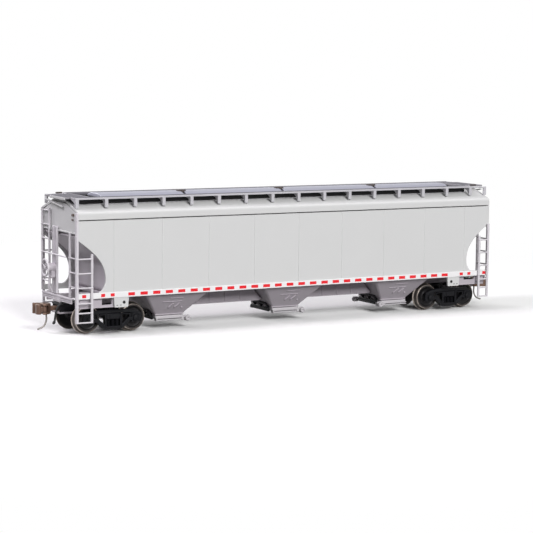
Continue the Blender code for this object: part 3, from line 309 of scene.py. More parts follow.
def skin(name, colour, edge=None, wear_and_highlight=0.35, mottle=0.08, rough=0.45, grain=2600.0, bump=0.05,
         metal=0.0, gloss=0.3):
    """A painted, moulded or metal finish: the group of rubbed and highlit edges around a Principled shader.
    """
    look = bpy.data.materials.new(name)
    look.use_nodes = True
    nodes, links = look.node_tree.nodes, look.node_tree.links
    shader = nodes["Principled BSDF"]
    group = nodes.new("ShaderNodeGroup")
    group.node_tree = WORN_AND_HIGHLIT_SKIN
    # By default the edge colour is a lighter copy of the colour, a painted highlight along rounded edges.
    bright = edge or tuple(min(1.0, c * 1.25 + 0.02) for c in colour)
    for socket, value in zip(group.inputs, ((*colour, 1), (*bright, 1), mottle, wear_and_highlight, rough, grain)):
        socket.default_value = value
    height = nodes.new("ShaderNodeBump")
    height.inputs["Strength"].default_value = bump
    height.inputs["Distance"].default_value = 0.0002
    links.new(group.outputs["Height"], height.inputs["Height"])
    links.new(group.outputs["Colour"], shader.inputs["Base Color"])
    links.new(group.outputs["Roughness"], shader.inputs["Roughness"])
    links.new(height.outputs["Normal"], shader.inputs["Normal"])
    shader.inputs["Metallic"].default_value = metal
    shader.inputs["Specular IOR Level"].default_value = gloss
    return look


wheel_metal = skin("wheel_metal", (0.016, 0.015, 0.016), (0.56, 0.485, 0.425), wear_and_highlight=1.6, mottle=0.3,
                   rough=0.38, grain=1800.0, bump=0.06, metal=0.5)
# Each point is a radius, a distance from the car's middle and the share of bare metal there.
axle_end = [(0.0, 12.2, 0), (0.55, 12.2, 0), (0.7, 12.05, 0), (0.7, 10.7, 0)]
outer_web = [(1.5, 10.55, 0), (1.85, 10.3, 0), (2.0, 9.75, 0), (2.3, 9.4, 0), (2.9, 9.3, 0),
             (3.5, 9.32, 0), (4.0, 9.45, 0), (4.2, 9.7, 0), (4.3, 10.0, 0.1), (4.4, 10.05, 0)]
tread = [(5.0, 10.05, 0.1), (5.12, 10.02, 0.8), (5.2, 9.93, 0.9), (5.22, 9.7, 0.3), (5.27, 8.25, 0.12)]
flange = [(5.34, 8.0, 0.1), (5.6, 7.85, 0.15), (5.86, 7.72, 0.8), (5.95, 7.55, 0.9), (5.9, 7.35, 0.4),
          (5.75, 7.25, 0.1)]
inner_web = [(4.3, 7.25, 0), (3.9, 7.45, 0), (2.4, 7.5, 0), (1.9, 7.3, 0), (1.5, 7.1, 0), (1.1, 6.9, 0),
             (1.05, 3.0, 0)]
half_wheelset = np.array(axle_end + outer_web + tread + flange + inner_web)
wheelset = np.concatenate([half_wheelset, half_wheelset[::-1] * (1, -1, 1)])
for end, sign in (("b", -1), ("a", 1)):
    for place, way in (("outer", 1), ("inner", -1)):
        spot = (sign * (TRUCK_X + way * AXLE_OFFSET), 0, AXLE_HEIGHT)
        wheels = lathe(wheelset[:, :2], spot, ACROSS, 72, wheelset[:, 2])
        fit(f"rolling_wheels_{end}_{place}", [wheels], wheel_metal, f"wheels_{end}_{place}",
            "wheel_metal", f"wheelset_{end}_{place}")

# Truck frames: black plastic mouldings in the shape of cast side frames. Two chords meet at the bearing
# boxes, and three ribbed spring posts stand under the end of the bolster in the middle window.
truck_black = skin("truck_black", (0.005, 0.005, 0.0065), (0.028, 0.028, 0.034), wear_and_highlight=0.5, mottle=0.25,
                   rough=0.55, grain=2200.0, bump=0.12, gloss=0.15)
FRAME_NEAR = 10.9
FRAME_FAR = 13.2
SPRING_Y = 12.05
ALONG = (1, 0, 0)
UP = (0, 0, 1)
PLANES = {"XZ": (0, 2, 1), "YZ": (1, 2, 0), "XY": (0, 1, 2)}
ENDS = (("b", False), ("a", True))


def row(x, y, z):
    """Points side by side, whose coordinates are lists of one length or single values."""
    return np.stack(np.broadcast_arrays(x, y, z), -1).astype(float)


def closed(rows, columns):
    """Faces of a grid of rings, with a face over the first ring and one over the last."""
    last = rows * columns
    return quads(rows, columns) + [list(range(columns)), list(range(last - 1, last - columns - 1, -1))]


def corner_arcs(steps):
    """The signs of the four corners of a rectangle, and the directions on the quarter circle at each."""
    angle = (np.arange(4)[:, None] + np.linspace(0, 1, steps)) * np.pi / 2
    return np.array([(1, 1), (-1, 1), (-1, -1), (1, -1)]), np.stack([np.cos(angle), np.sin(angle)], -1)


def bars(starts, ends, width, depth, up, soft=0.3):
    """Straight bars, each a rounded rectangle carried from its start to its end.

    The rectangle is `width` across and `depth` along `up`. A corner is a quarter circle of `soft`
    times the thinner side, and the first and last rows draw in by most of that radius.
    """
    a, b = np.atleast_2d(np.asarray(starts, float)), np.atleast_2d(np.asarray(ends, float))
    length = np.linalg.norm(b - a, axis=1)[:, None]
    along = (b - a) / length
    side = unit(np.cross(along, np.asarray(up, float)))
    lift = np.cross(side, along)
    r = soft * min(width, depth)
    sign, arc = corner_arcs(3)
    corner = sign * (width / 2 - r, depth / 2 - r)
    rows = np.array([(0.0, 0.25), (0.3, 0.75), (1.0, 1.0), (-1.0, 1.0), (-0.3, 0.75), (0.0, 0.25)])
    shape = (corner[:, None] + rows[:, None, None, 1:] * r * arc).reshape(len(rows), -1, 2)
    reach = np.where(np.arange(6)[:, None] < 3, rows[:, :1] * r, length[:, None] + rows[:, :1] * r)
    points = (a[:, None, None] + reach[..., None] * along[:, None, None]
              + shape[..., :1] * side[:, None, None] + shape[..., 1:] * lift[:, None, None])
    ring, size = closed(*shape.shape[:2]), shape[..., 0].size
    faces = [[n + size * k for n in face] for k in range(len(a)) for face in ring]
    marks = np.tile((0.0, 1.0, 0.0), 4 * len(rows) * len(a))
    return points.reshape(-1, 3), faces, marks


def runs(starts, way, width, depth, up, soft=0.3):
    """Bars that all run the same way from their starts."""
    return bars(starts, np.asarray(starts, float) + way, width, depth, up, soft)


def plate(outline, plane, low, high, soft=0.15):
    """A flat plate: its outline carried through six rows between two levels along the plane's normal.

    Near both faces the outline draws in on a quarter circle, so that every edge is rounded.
    """
    low, high = sorted((low, high))
    line = np.asarray(outline, float)
    ahead = unit(np.roll(line, -1, 0) - line)
    mean = ahead + np.roll(ahead, 1, 0)
    outward = unit(np.stack([mean[:, 1], -mean[:, 0]], -1))
    x, y = line.T
    outward *= np.sign(np.sum(x * np.roll(y, -1) - y * np.roll(x, -1)))
    turn = np.radians((0, 45, 90))
    inset, rise = soft * (1 - np.sin(turn)), soft * (1 - np.cos(turn))
    inset = np.concatenate([inset, inset[::-1]])
    depth = np.concatenate([low + rise, (high - rise)[::-1]])
    flat = line - inset[:, None, None] * outward
    count = len(line)
    points = np.empty((6, count, 3))
    u, v, w = PLANES[plane]
    points[..., u], points[..., v], points[..., w] = flat[..., 0], flat[..., 1], depth[:, None]
    return points.reshape(-1, 3), closed(6, count), np.repeat((0.0, 1.0, 0.0, 0.0, 1.0, 0.0), count)


def rounded(outline, radius, steps=5):
    """The outline with each corner replaced by a parabola between points `radius` before and after it."""
    line = np.asarray(outline, float)
    size = np.broadcast_to(np.asarray(radius, float), len(line))[:, None]
    before, after = np.roll(line, 1, 0) - line, np.roll(line, -1, 0) - line
    gone = np.linalg.norm(before, axis=1)[:, None], np.linalg.norm(after, axis=1)[:, None]
    start = line + before / gone[0] * np.minimum(size, gone[0] * 0.45)
    stop = line + after / gone[1] * np.minimum(size, gone[1] * 0.45)
    t = np.linspace(0, 1, steps)[None, :, None]
    curve = (1 - t) ** 2 * start[:, None] + 2 * t * (1 - t) * line[:, None] + t ** 2 * stop[:, None]
    return curve.reshape(-1, 2)


def oblong(x0, x1, y0, y1, radius=0.3):
    """A rectangle with rounded corners."""
    return rounded([(x0, y0), (x1, y0), (x1, y1), (x0, y1)], radius)


def strap(path, plane, width, low, high, soft=0.15):
    """A band of even width along an open path in a plane, as thick as from low to high."""
    path = np.asarray(path, float)
    ahead = unit(np.gradient(path, axis=0))
    off = np.stack([-ahead[:, 1], ahead[:, 0]], -1) * (width / 2)
    return plate(np.concatenate([path + off, (path - off)[::-1]]), plane, low, high, soft)


def spring_post(x, y, low, high, radius, ribs=6):
    """A ribbed post: its radius waves once for each coil of the moulded spring."""
    h = np.linspace(high, low, ribs * 6 + 1)
    wave = radius * (0.84 + 0.16 * np.cos((h - low) / (high - low) * ribs * 2 * np.pi))
    line = np.concatenate([[(0, high)], np.stack([wave, h], -1), [(0, low)]])
    return lathe(line, (x, y, 0), UP, 16)


def truck_side(sign):
    """One side frame about the truck's own centre, on the side that the sign gives.

    The top chord bows down towards its ends and dips once more over the bearing boxes. The foot chord
    is level in the middle and climbs to the boxes on a smooth step.
    """
    t = np.linspace(-1, 1, 33)
    dip = np.clip((np.abs(t) - 0.62) / 0.38, 0, 1)
    top = np.stack([12.2 * t, 8.35 - 0.55 * t ** 2 - 1.15 * dip ** 2], -1)
    climb = np.clip((8.6 * np.abs(t) - 3.2) / 4.2, 0, 1)
    foot = np.stack([8.6 * t, 1.85 + 3.2 * climb ** 2 * (3 - 2 * climb)], -1)
    near, far = FRAME_NEAR * sign, FRAME_FAR * sign
    parts = [strap(top, "XZ", 1.25, near, far, 0.25), strap(foot, "XZ", 1.3, near, far, 0.25)]
    box = np.array([(8.05, 3.6), (12.5, 3.6), (12.55, 6.7), (11.6, 7.6), (8.4, 7.7)])
    web = np.array([(7.4, 4.2), (7.4, 7.6), (9.6, 7.4), (9.6, 4.2)])
    rim = np.array([(3.6, 7.35), (7.2, 7.0), (6.9, 5.7), (3.6, 2.9), (3.6, 7.35)])
    cap = [(0, 13.8), (0.55, 13.8), (0.7, 13.7), (1.2, 13.65), (1.35, 13.5), (1.38, 12.6), (0, 12.6)]
    turn = np.arange(3) * 2 * np.pi / 3 + 0.5
    for hand in (-1, 1):
        parts.append(plate(oblong(hand * 2.95, hand * 3.6, 1.7, 8.5, 0.2), "XZ", near, far, 0.2))
        parts.append(plate(rounded(box * (hand, 1), 0.6), "XZ", 11.2 * sign, 13.0 * sign, 0.25))
        parts.append(plate(rounded(web * (hand, 1), 0.3), "XZ", 10.95 * sign, 12.4 * sign))
        edge = row(hand * rim[:, 0], 13.15 * sign, rim[:, 1])
        parts.append(bars(edge[:-1], edge[1:], 0.4, 0.4, ACROSS))
        parts.append(lathe(cap, (hand * AXLE_OFFSET, 0, AXLE_HEIGHT), (0, sign, 0), 28))
        bolt = row(hand * AXLE_OFFSET + 0.85 * np.cos(turn), 13.62 * sign, AXLE_HEIGHT + 0.85 * np.sin(turn))
        parts.append(runs(bolt, (0, 0.22 * sign, 0), 0.34, 0.34, UP, 0.45))
    for x in (-1.9, 0.0, 1.9):
        parts.append(spring_post(x, SPRING_Y * sign, 2.1, 5.0, 0.9))
    parts.append(plate(oblong(-3.4, 3.4, 1.6, 5.0, 0.2), "XZ", 10.95 * sign, 11.3 * sign, 0.1))
    parts.append(runs((-3.1, SPRING_Y * sign, 2.25), (6.2, 0, 0), 2.1, 0.4, UP))
    return parts


def moved(parts, turned, x=0.0):
    """Parts carried along x, then turned half a circle about Z if they are for the other end or side."""
    flip = (-1, -1, 1) if turned else (1, 1, 1)
    return [((points + (x, 0, 0)) * flip, faces, marks) for points, faces, marks in parts]


centre_plate = [(1.2, 9.9), (3.2, 9.9), (3.4, 9.7), (3.4, 7.4), (1.2, 7.4), (1.2, 9.9)]
beam = [plate(oblong(-2.85, 2.85, 5.25, 7.55, 0.5), "XZ", -13.15, 13.15, 0.3),
        lathe(centre_plate, (0, 0, 0), UP, 40)]
for hand in (-1, 1):
    beam.append(plate(oblong(-1.6, 1.6, 5.5, 7.3), "XZ", hand * 12.9, hand * 13.4, 0.12))
    beam.append(runs((-2.4, hand * 9.6, 7.7), (4.8, 0, 0), 1.4, 0.5, UP))
for end, turned in ENDS:
    for name, sign in (("right", -1), ("left", 1)):
        side_frame = truck_side(-sign if turned else sign)
        fit(f"cast_side_frame_{end}_{name}", moved(side_frame, turned, -TRUCK_X), truck_black,
            f"truck_{end}", "truck_black", f"side_frame_{end}_{name}")
    fit(f"cast_bolster_{end}", moved(beam, turned, -TRUCK_X), truck_black, f"truck_{end}",
        "truck_black", f"truck_bolster_{end}")

# Underframe: the floor with the centre sill between the bays, and at each end a stub sill with the body
# bolster and two notched side plates. Grey plastic mouldings, with king pins and a weight of steel.
# The underframe grey is the body grey made darker and lavender: painted shade under the car.
underframe_grey = skin("underframe_grey", (0.45, 0.411, 0.45), mottle=0.12, rough=0.5)
steel = skin("steel", (0.52, 0.52, 0.54), wear_and_highlight=0.2, mottle=0.1, rough=0.35, grain=1500.0, metal=1.0)
for node in ("ballast_weight", "king_pin_a", "king_pin_b"):
    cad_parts[node].material_slots[0].material = steel


def fit_twice(places, name, parts, look, slot, node=None, body=None):
    """Fits a piece in two places, whose names end those of the piece, its CAD node and its moving body."""
    for place, turned in places:
        nodes = [f"{node}_{place}"] if node else []
        carrier = f"{body}_{place}" if body else "car_body"
        fit(f"{name}_{place}", moved(parts, turned), look, carrier, slot, *nodes)


sill_web = np.array([(9.42, 8.0), (15.45, 14.9), (39.05, 14.9), (45.08, 8.0)])
floor = [plate(oblong(-85.6, 85.6, -16.5, 16.5), "XY", 14.8, 16.0)]
for sign in (-1, 1):
    floor.append(plate(rounded(sill_web * (sign, 1), 0.4), "XZ", -6.0, 6.0, 0.25))
    for y in (-1, 1):
        ribs = row(sign * np.array((20.0, 27.25, 34.5)), y * 6.05, 8.2)
        floor.append(runs(ribs, (0, 0, 6.5), 0.7, 0.5, ACROSS))
        floor.append(runs((sign * 11.0, y * 5.9, 8.25), (sign * 32.6, 0, 0), 0.9, 0.5, UP))
fit("floor_and_sill", floor, underframe_grey, "car_body", "underframe_grey", "floor")

stub = [runs((-89.4, 0, 12.35), (14.2, 0, 0), 7.4, 4.3, UP, 0.08),
        runs((-80.1, -16.5, 13.35), (0, 33.0, 0), 4.8, 2.1, UP, 0.12)]
for low, start, stop, foot in ((-16.4, -87.9, -83.6, 11.6), (15.4, -92.3, -86.7, 12.7)):
    notch = [(stop, 14.2), (stop, foot), (start, foot), (start, 14.2)]
    side_plate = [(-97.5, 10.5), (-81.8, 10.5), (-81.8, 14.2)] + notch + [(-97.5, 14.2)]
    stub.append(plate(rounded(side_plate, 0.3), "XZ", low, low + 1.0))
    stub.append(runs((-97.3, low + 0.5, 10.75), (15.3, 0, 0), 1.2, 0.5, UP))
fit_twice(ENDS, "stub_sill_and_bolster", stub, underframe_grey, "underframe_grey", "stub_sill")

# Hopper bays: tapered funnels of grey plastic glued under the floor, solid here. Two weld lines, two
# slanting stiffeners and a plug are moulded on each side face, and a flange runs round the outlet.
BAY_X = (-54.5, 0.0, 54.5)
BAY_FOOT = 5.0
BAY_HEIGHT = 9.5
OUTLET = np.array((6.2, 8.5))
FLARE = np.array((8.3, 8.0))


def funnel(x):
    """A rounded rectangle that shrinks evenly from the floor down to the outlet, row by row of heights."""
    z = np.array([14.5, 14.4, 14.1, 11.0, 8.0, 5.3, 5.1, 5.0])
    inset = np.array([0.25, 0.05, 0.0, 0.0, 0.0, 0.0, 0.08, 0.25])
    share = (z - BAY_FOOT) / BAY_HEIGHT
    half = OUTLET + FLARE * share[:, None] - inset[:, None]
    soft = 0.7 + 0.7 * share
    sign, arc = corner_arcs(5)
    flat = sign[:, None] * (half - soft[:, None])[:, None, None] + soft[:, None, None, None] * arc
    points = np.empty((len(z), 20, 3))
    points[..., :2] = flat.reshape(len(z), 20, 2)
    points[..., 2] = z[:, None]
    points[..., 0] += x
    marks = np.zeros((len(z), 20))
    marks[:, 2::5] = 0.8
    return points.reshape(-1, 3), closed(len(z), 20), marks.ravel()


def on_face(x, side, points):
    """Points (across, height) laid on the sloping face of a bay on one side of the car."""
    across, z = np.asarray(points, float).T
    out = OUTLET[1] + 0.05 + FLARE[1] * (z - BAY_FOOT) / BAY_HEIGHT
    return np.stack([x - side * across, side * out, z], -1)


rim_x, rim_y = OUTLET + (0.4, 0.45)
plug = [(0, 0.3), (0.3, 0.26), (0.42, 0.0), (0.4, -0.3), (0, -0.3)]
for number, x in enumerate(BAY_X, 1):
    bay = [funnel(x), plate(oblong(x - rim_x, x + rim_x, -rim_y, rim_y, 0.4), "XY", 4.95, 5.4, 0.1)]
    for side in (-1, 1):
        lean = (0, side * BAY_HEIGHT, -FLARE[1])
        weld = on_face(x, side, [(-2.6, 12.5), (3.4, 12.5), (-5.2, 10.9), (3.4, 10.9)])
        bay.append(bars(weld[::2], weld[1::2], 0.22, 0.35, lean))
        slant = on_face(x, side, [(-1.9, 8.4), (-0.1, 10.3), (0.9, 8.4), (2.7, 10.3)])
        bay.append(bars(slant[::2], slant[1::2], 0.45, 0.9, lean))
        bay.append(lathe(plug, on_face(x, side, [(4.4, 8.0)])[0], lean, 16))
    fit(f"funnel_{number}", bay, underframe_grey, "car_body", "underframe_grey", f"hopper_bay_{number}")

# Outlet gates: a sliding door in a frame under each bay, between two double rails with stops, and a
# capstan on each side. A shaft joins them, and a lock bar with lugs lies behind the door; shaft, bar and
# lugs are black as painted shade under the car. Plastic mouldings glued to the bays.
# The gates' grey is the body grey made somewhat darker and lavender: painted shade under the car.
gate_grey = skin("gate_grey", (0.50, 0.48, 0.50), mottle=0.1)
SHAFT_Z = 3.3
capstan = [(0, 10.6), (0.42, 10.6), (0.46, 11.0), (0.9, 11.0), (1.1, 10.8), (1.1, 10.2), (0.85, 10.1),
           (0.85, 9.8), (1.05, 9.7), (1.05, 9.5), (0, 9.5)]
shaft = [(0, 10.4), (0.45, 10.4), (0.45, -8.4), (0, -8.4)]
for number, x in enumerate(BAY_X, 1):
    hand = -1 if number == 3 else 1
    crank = x + hand * 7.5
    first, last = sorted((x - hand * 6.4, x + hand * 8.6))
    length = last - first
    gate = [plate(oblong(x - 6.4, x + 6.4, -9.2, 9.2, 0.5), "XY", 3.3, 4.7, 0.2),
            runs(row((x - 4.0, x, x + 4.0), -8.6, 3.25), (0, 17.2, 0), 0.6, 0.4, UP)]
    for side in (-1, 1):
        gate.append(runs(row(first, side * 8.9, (2.95, 3.72)), (length, 0, 0), 1.8, 0.46, UP))
        gate.append(runs((first + 0.3, side * 8.35, 3.3), (length - 0.6, 0, 0), 0.7, 0.6, UP))
        stops = row((first + 0.3, last - 2.9), side * 8.0, 3.33)
        gate.append(runs(stops, (0, side * 1.85, 0), 0.6, 1.2, UP))
        gate.append(lathe(capstan, (crank, 0, SHAFT_Z), (0, side, 0), 24))
        bearing = oblong(crank - 1.1, crank + 1.1, 2.3, 4.5, 0.4)
        gate.append(plate(bearing, "XZ", side * 9.1, side * 9.6, 0.12))
        gate.append(runs((crank - hand * 2.6, side * 9.7, SHAFT_Z), (hand * 1.2, 0, 0), 0.9, 1.5, UP))
    # These parts take the trucks' black as painted shade under the car.
    lock = [lathe(shaft, (crank, 0, SHAFT_Z), ACROSS, 20),
            runs((x - 7.05, -7.6, 3.9), (0, 15.2, 0), 0.9, 1.5, UP),
            runs(row(x - 6.9, (-6.4, -1.2, 4.0), 4.9), (-1.3, 0, 1.7), 1.1, 0.8, ACROSS),
            runs((x - 8.1, -6.9, 6.5), (0, 11.4, 0), 0.9, 0.9, UP)]
    fit(f"gate_lock_{number}", lock, truck_black, "car_body", "truck_black")
    fit(f"sliding_gate_{number}", gate, gate_grey, "car_body", "underframe_grey", f"outlet_gate_{number}")

# Side sheets: light grey mouldings with an open cut-out at each end, weld seams between the panels and
# a tab over each truck. The sill strip is printed white with a row of red dashes.
body_grey = skin("body_grey", (0.63, 0.63, 0.63), (0.8, 0.8, 0.8), wear_and_highlight=0.25, mottle=0.03, rough=0.55,
                 grain=3200.0, bump=0.03, gloss=0.2)
# A black that stands for shade: in the tab holes and under the running boards.
painted_shade_black = skin("painted_shade_black", (0.012, 0.012, 0.013), wear_and_highlight=0.1, mottle=0.1, rough=0.7)
HALF_LENGTH = 98.7
SIDE_FACE = 17.8
SILL_LOW = 14.5
SILL_HIGH = 16.7
SEAMS = -83.3 + 21.1 * np.arange(9)
SIDES = (("right", False), ("left", True))


def bezier(a, b, c, d, steps):
    """The cubic curve from a to d that leaves towards b and arrives from c."""
    t = np.linspace(0, 1, steps)[:, None]
    a, b, c, d = map(np.asarray, (a, b, c, d))
    return (1 - t) ** 3 * a + 3 * t * (1 - t) ** 2 * b + 3 * t ** 2 * (1 - t) * c + t ** 3 * d


def dash_paint():
    """The white sill strip, in metres: red where a place falls in a dash or in one of the end squares.

    Along the car a triangle wave falls under half a dash once in each pitch, as far as the dashes reach.
    """
    half_pitch, half_dash, start, reach = 0.0028, 0.0016, 0.0032, 0.0773
    squares, half_square = (0.0841, 0.0882, 0.0963), 0.00085
    middle, half_height = 0.01635, 0.00062
    look = skin("sill_white", (0.83, 0.82, 0.83), wear_and_highlight=0.2, mottle=0.03, rough=0.4, grain=3200.0, bump=0.03)
    tree = look.node_tree
    nodes, links = tree.nodes, tree.links

    def within(value, centre, half):
        off = math_node(tree, "ABSOLUTE", math_node(tree, "SUBTRACT", value, centre))
        return math_node(tree, "LESS_THAN", off, half)

    place = nodes.new("ShaderNodeTexCoord")
    split = nodes.new("ShaderNodeSeparateXYZ")
    links.new(place.outputs["Object"], split.inputs[0])
    far = math_node(tree, "ABSOLUTE", split.outputs["X"])
    wave = math_node(tree, "PINGPONG", math_node(tree, "ADD", split.outputs["X"], start), half_pitch)
    inside = math_node(tree, "LESS_THAN", far, reach)
    red_part = math_node(tree, "MULTIPLY", math_node(tree, "LESS_THAN", wave, half_dash), inside)
    for spot in squares:
        red_part = math_node(tree, "MAXIMUM", red_part, within(far, spot, half_square))
    mask = math_node(tree, "MULTIPLY", red_part, within(split.outputs["Z"], middle, half_height))
    red = nodes.new("ShaderNodeMix")
    red.data_type = "RGBA"
    links.new(mask, red.inputs["Factor"])
    links.new(nodes["Group"].outputs["Colour"], red.inputs["A"])
    red.inputs["B"].default_value = (0.78, 0.018, 0.028, 1)
    links.new(red.outputs["Result"], nodes["Principled BSDF"].inputs["Base Color"])
    return look


sill_white = dash_paint()
tab = [(76.9, SILL_LOW), (77.2, 10.8), (77.5, 10.5), (82.8, 10.5), (83.1, 10.8), (83.4, SILL_LOW)]
sill_end = [(HALF_LENGTH, SILL_LOW), (HALF_LENGTH, SILL_HIGH)]
low_curve = bezier((90.3, SILL_HIGH), (88.7, SILL_HIGH), (86.9, 18.9), (86.9, 21.5), 10)
high_curve = bezier((86.9, 21.5), (86.9, 28.5), (91.7, 32.4), (HALF_LENGTH, 37.4), 20)[1:]
half_side = np.concatenate([tab, sill_end, low_curve, high_curve, [(HALF_LENGTH, 45.0)]])
side_line = np.concatenate([half_side, (half_side * (-1, 1))[::-1]])
sheet = [plate(side_line, "XZ", -SIDE_FACE, 1.0 - SIDE_FACE, 0.12),
         runs(row(SEAMS, -SIDE_FACE, 16.9), (0, 0, 28.0), 0.5, 0.34, ACROSS)]
strip = [plate(oblong(-HALF_LENGTH, HALF_LENGTH, SILL_LOW, SILL_HIGH, 0.12), "XZ", -18.05, -17.6, 0.1)]
# The hole in each tab is a black disc, and the thin slits beside it are black bars: painted shade.
hole_line = [(0, 0.05), (0.62, 0.05), (0.7, -0.1), (0, -0.1)]
holes = [lathe(hole_line, (x, -SIDE_FACE, 12.5), (0, -1, 0), 24) for x in (-79.0, 79.0)]
marks = row((-82.35, -80.85, 81.65, 80.15), -SIDE_FACE, 11.4)
holes.append(runs(marks, (0.7, 0, 0), 0.1, 0.22, UP))
fit_twice(SIDES, "side_panels", sheet, body_grey, "body_grey", "side_sheet")
fit_twice(SIDES, "sill_strip", strip, sill_white, "body_grey")
fit_twice(SIDES, "tab_hole", holes, painted_shade_black, "body_grey")

# Ends: the end sheet under the roof with two small brown clips, and the slope sheet that carries the load
# from it down to the upright bulkhead. Smooth grey mouldings set between the sides.
clip_brown = skin("clip_brown", (0.10, 0.07, 0.06), wear_and_highlight=0.5, mottle=0.2, rough=0.5)
# The slope sheets' grey is the body grey made darker and lavender, painted shade under the ends.
chute_grey = skin("chute_grey", (0.55, 0.51, 0.55), wear_and_highlight=0.3, mottle=0.1)
end_line = [(-16.5, 39.7), (16.5, 39.7), (16.5, 47.4), (5.3, 51.3), (-5.3, 51.3), (-16.5, 47.4)]
end_wall = [plate(rounded(end_line, 0.4), "YZ", -HALF_LENGTH, 1.0 - HALF_LENGTH),
            runs((-98.75, -16.2, 40.0), (0, 32.4, 0), 0.5, 0.6, UP)]
end_clips = [plate(oblong(-14.0, -12.2, 46.6, 47.6, 0.25), "YZ", -99.2, -98.6),
             plate(oblong(-13.4, -12.0, 44.9, 45.5, 0.2), "YZ", -99.1, -98.6, 0.12)]
bulkhead = np.linspace((-84.1, 16.3), (-84.1, 24.9), 8)
fold = bezier((-84.1, 25.2), (-84.1, 26.6), (-84.6, 27.2), (-85.6, 28.1), 8)
rise = np.linspace((-86.0, 28.45), (-97.9, 39.0), 12)
chute = [strap(np.concatenate([bulkhead, fold, rise]), "XZ", 1.0, -16.5, 16.5)]
fit_twice(ENDS, "end_wall", end_wall, body_grey, "body_grey", "end_sheet")
fit_twice(ENDS, "chute", chute, chute_grey, "underframe_grey", "slope_sheet")
fit_twice(ENDS, "end_clips", end_clips, clip_brown, "coupler_brown")

# Roof: one moulded shell with sloping shoulders and a level middle, glued on the body with a narrow joint
# over the sides. Low ribs cover the seams between its panels.
half_roof = [(-17.3, 44.9), (-17.3, 47.95), (-5.4, 52.1)]
roof_corners = half_roof + [(-y, z) for y, z in half_roof[::-1]]
bend = rounded(roof_corners, (0.9, 0.55, 0.9, 0.9, 0.55, 0.9), 7)[7:-7]
# The second point from each end keeps the upright skirt flat.
roof_path = np.concatenate([[(-17.3, 45.45), (-17.3, 45.8)], bend, [(17.3, 45.8), (17.3, 45.45)]])
roof_shell = [strap(roof_path, "YZ", 1.0, -HALF_LENGTH, HALF_LENGTH)]
for side in (-1, 1):
    shoulder = row(-side * SEAMS, side * 15.9, 48.96)
    roof_shell.append(runs(shoulder, (0, -side * 9.9, 3.46), 0.5, 0.12, (0, side * 0.35, 1), 0.45))
    skirt = row(-side * SEAMS, side * SIDE_FACE, 45.55)
    roof_shell.append(runs(skirt, (0, 0, 1.4), 0.45, 0.1, ACROSS, 0.45))
fit("roof_shell", roof_shell, body_grey, "car_body", "body_grey", "roof")

# Running boards: gratings of crossing bars on a dark tread along both roof edges, light at the outer rim,
# on brackets with flared feet. A stringer under the inner edge is black as painted shade under the
# board, and a corner post and a bent grab rod stand past the short end. Plastic mouldings.
walk_grey = skin("walk_grey", (0.12, 0.115, 0.13), (0.34, 0.34, 0.37), wear_and_highlight=0.5, mottle=0.15, rough=0.65,
                 grain=2400.0, bump=0.08, metal=0.2, gloss=0.15)
walk_trim = skin("walk_trim", (0.50, 0.49, 0.52), (0.75, 0.75, 0.78), wear_and_highlight=0.4, mottle=0.06)
BAR_LOW = 53.3
BAR_HIGH = 53.75
BAR_PITCH = 0.85
RIM_Z = 53.45
BOARD_START = -98.7
BOARD_LENGTH = 189.8


def grating(x0, x1, y0, y1, strips):
    """A walkway of crossing bars: thin strips along x and cross bars along y, on a thin tread."""
    middle, depth = (BAR_LOW + BAR_HIGH) / 2, BAR_HIGH - BAR_LOW
    y = np.linspace(y0 + 0.17, y1 - 0.17, strips)
    x = np.linspace(x0 + 0.15, x1 - 0.15, int((x1 - x0) / BAR_PITCH))
    return [runs(row(x0, y, middle), (x1 - x0, 0, 0), 0.34, depth, UP),
            runs(row(x, y0 + 0.05, middle), (0, y1 - y0 - 0.1, 0), 0.3, depth * 0.8, UP),
            plate(oblong(x0 - 0.1, x1 + 0.1, y0 - 0.1, y1 + 0.1, 0.2), "XY", 53.12, 53.5, 0.1)]


def tube(path, radius, sides=12):
    """A round wire: circles set square to a path whose corners are cut off three times over."""
    path = np.asarray(path, float)
    for _ in range(3):
        quarter, most = path[:-1] * 0.75 + path[1:] * 0.25, path[:-1] * 0.25 + path[1:] * 0.75
        path = np.concatenate([path[:1], np.stack([quarter, most], 1).reshape(-1, 3), path[-1:]])
    ahead = unit(np.gradient(path, axis=0))
    spread = np.abs(ahead).max(0)
    side = unit(np.cross(ahead, np.eye(3)[np.argmin(spread)]))
    lift = np.cross(side, ahead)
    t = np.linspace(0, 2 * np.pi, sides, endpoint=False)
    size = np.full(len(path), float(radius))
    size[[0, -1]] *= 0.7
    ring = np.cos(t)[:, None] * side[:, None] + np.sin(t)[:, None] * lift[:, None]
    points = path[:, None] + size[:, None, None] * ring
    return points.reshape(-1, 3), closed(len(path), sides), np.zeros(len(path) * sides)


net = grating(-98.5, 90.9, -15.0, -10.4, 7)
net.append(runs((BOARD_START, -10.35, RIM_Z), (BOARD_LENGTH, 0, 0), 0.34, 0.75, UP))
net.append(runs((-98.5, -14.74, 53.5), (189.4, 0, 0), 0.34, 0.75, UP))
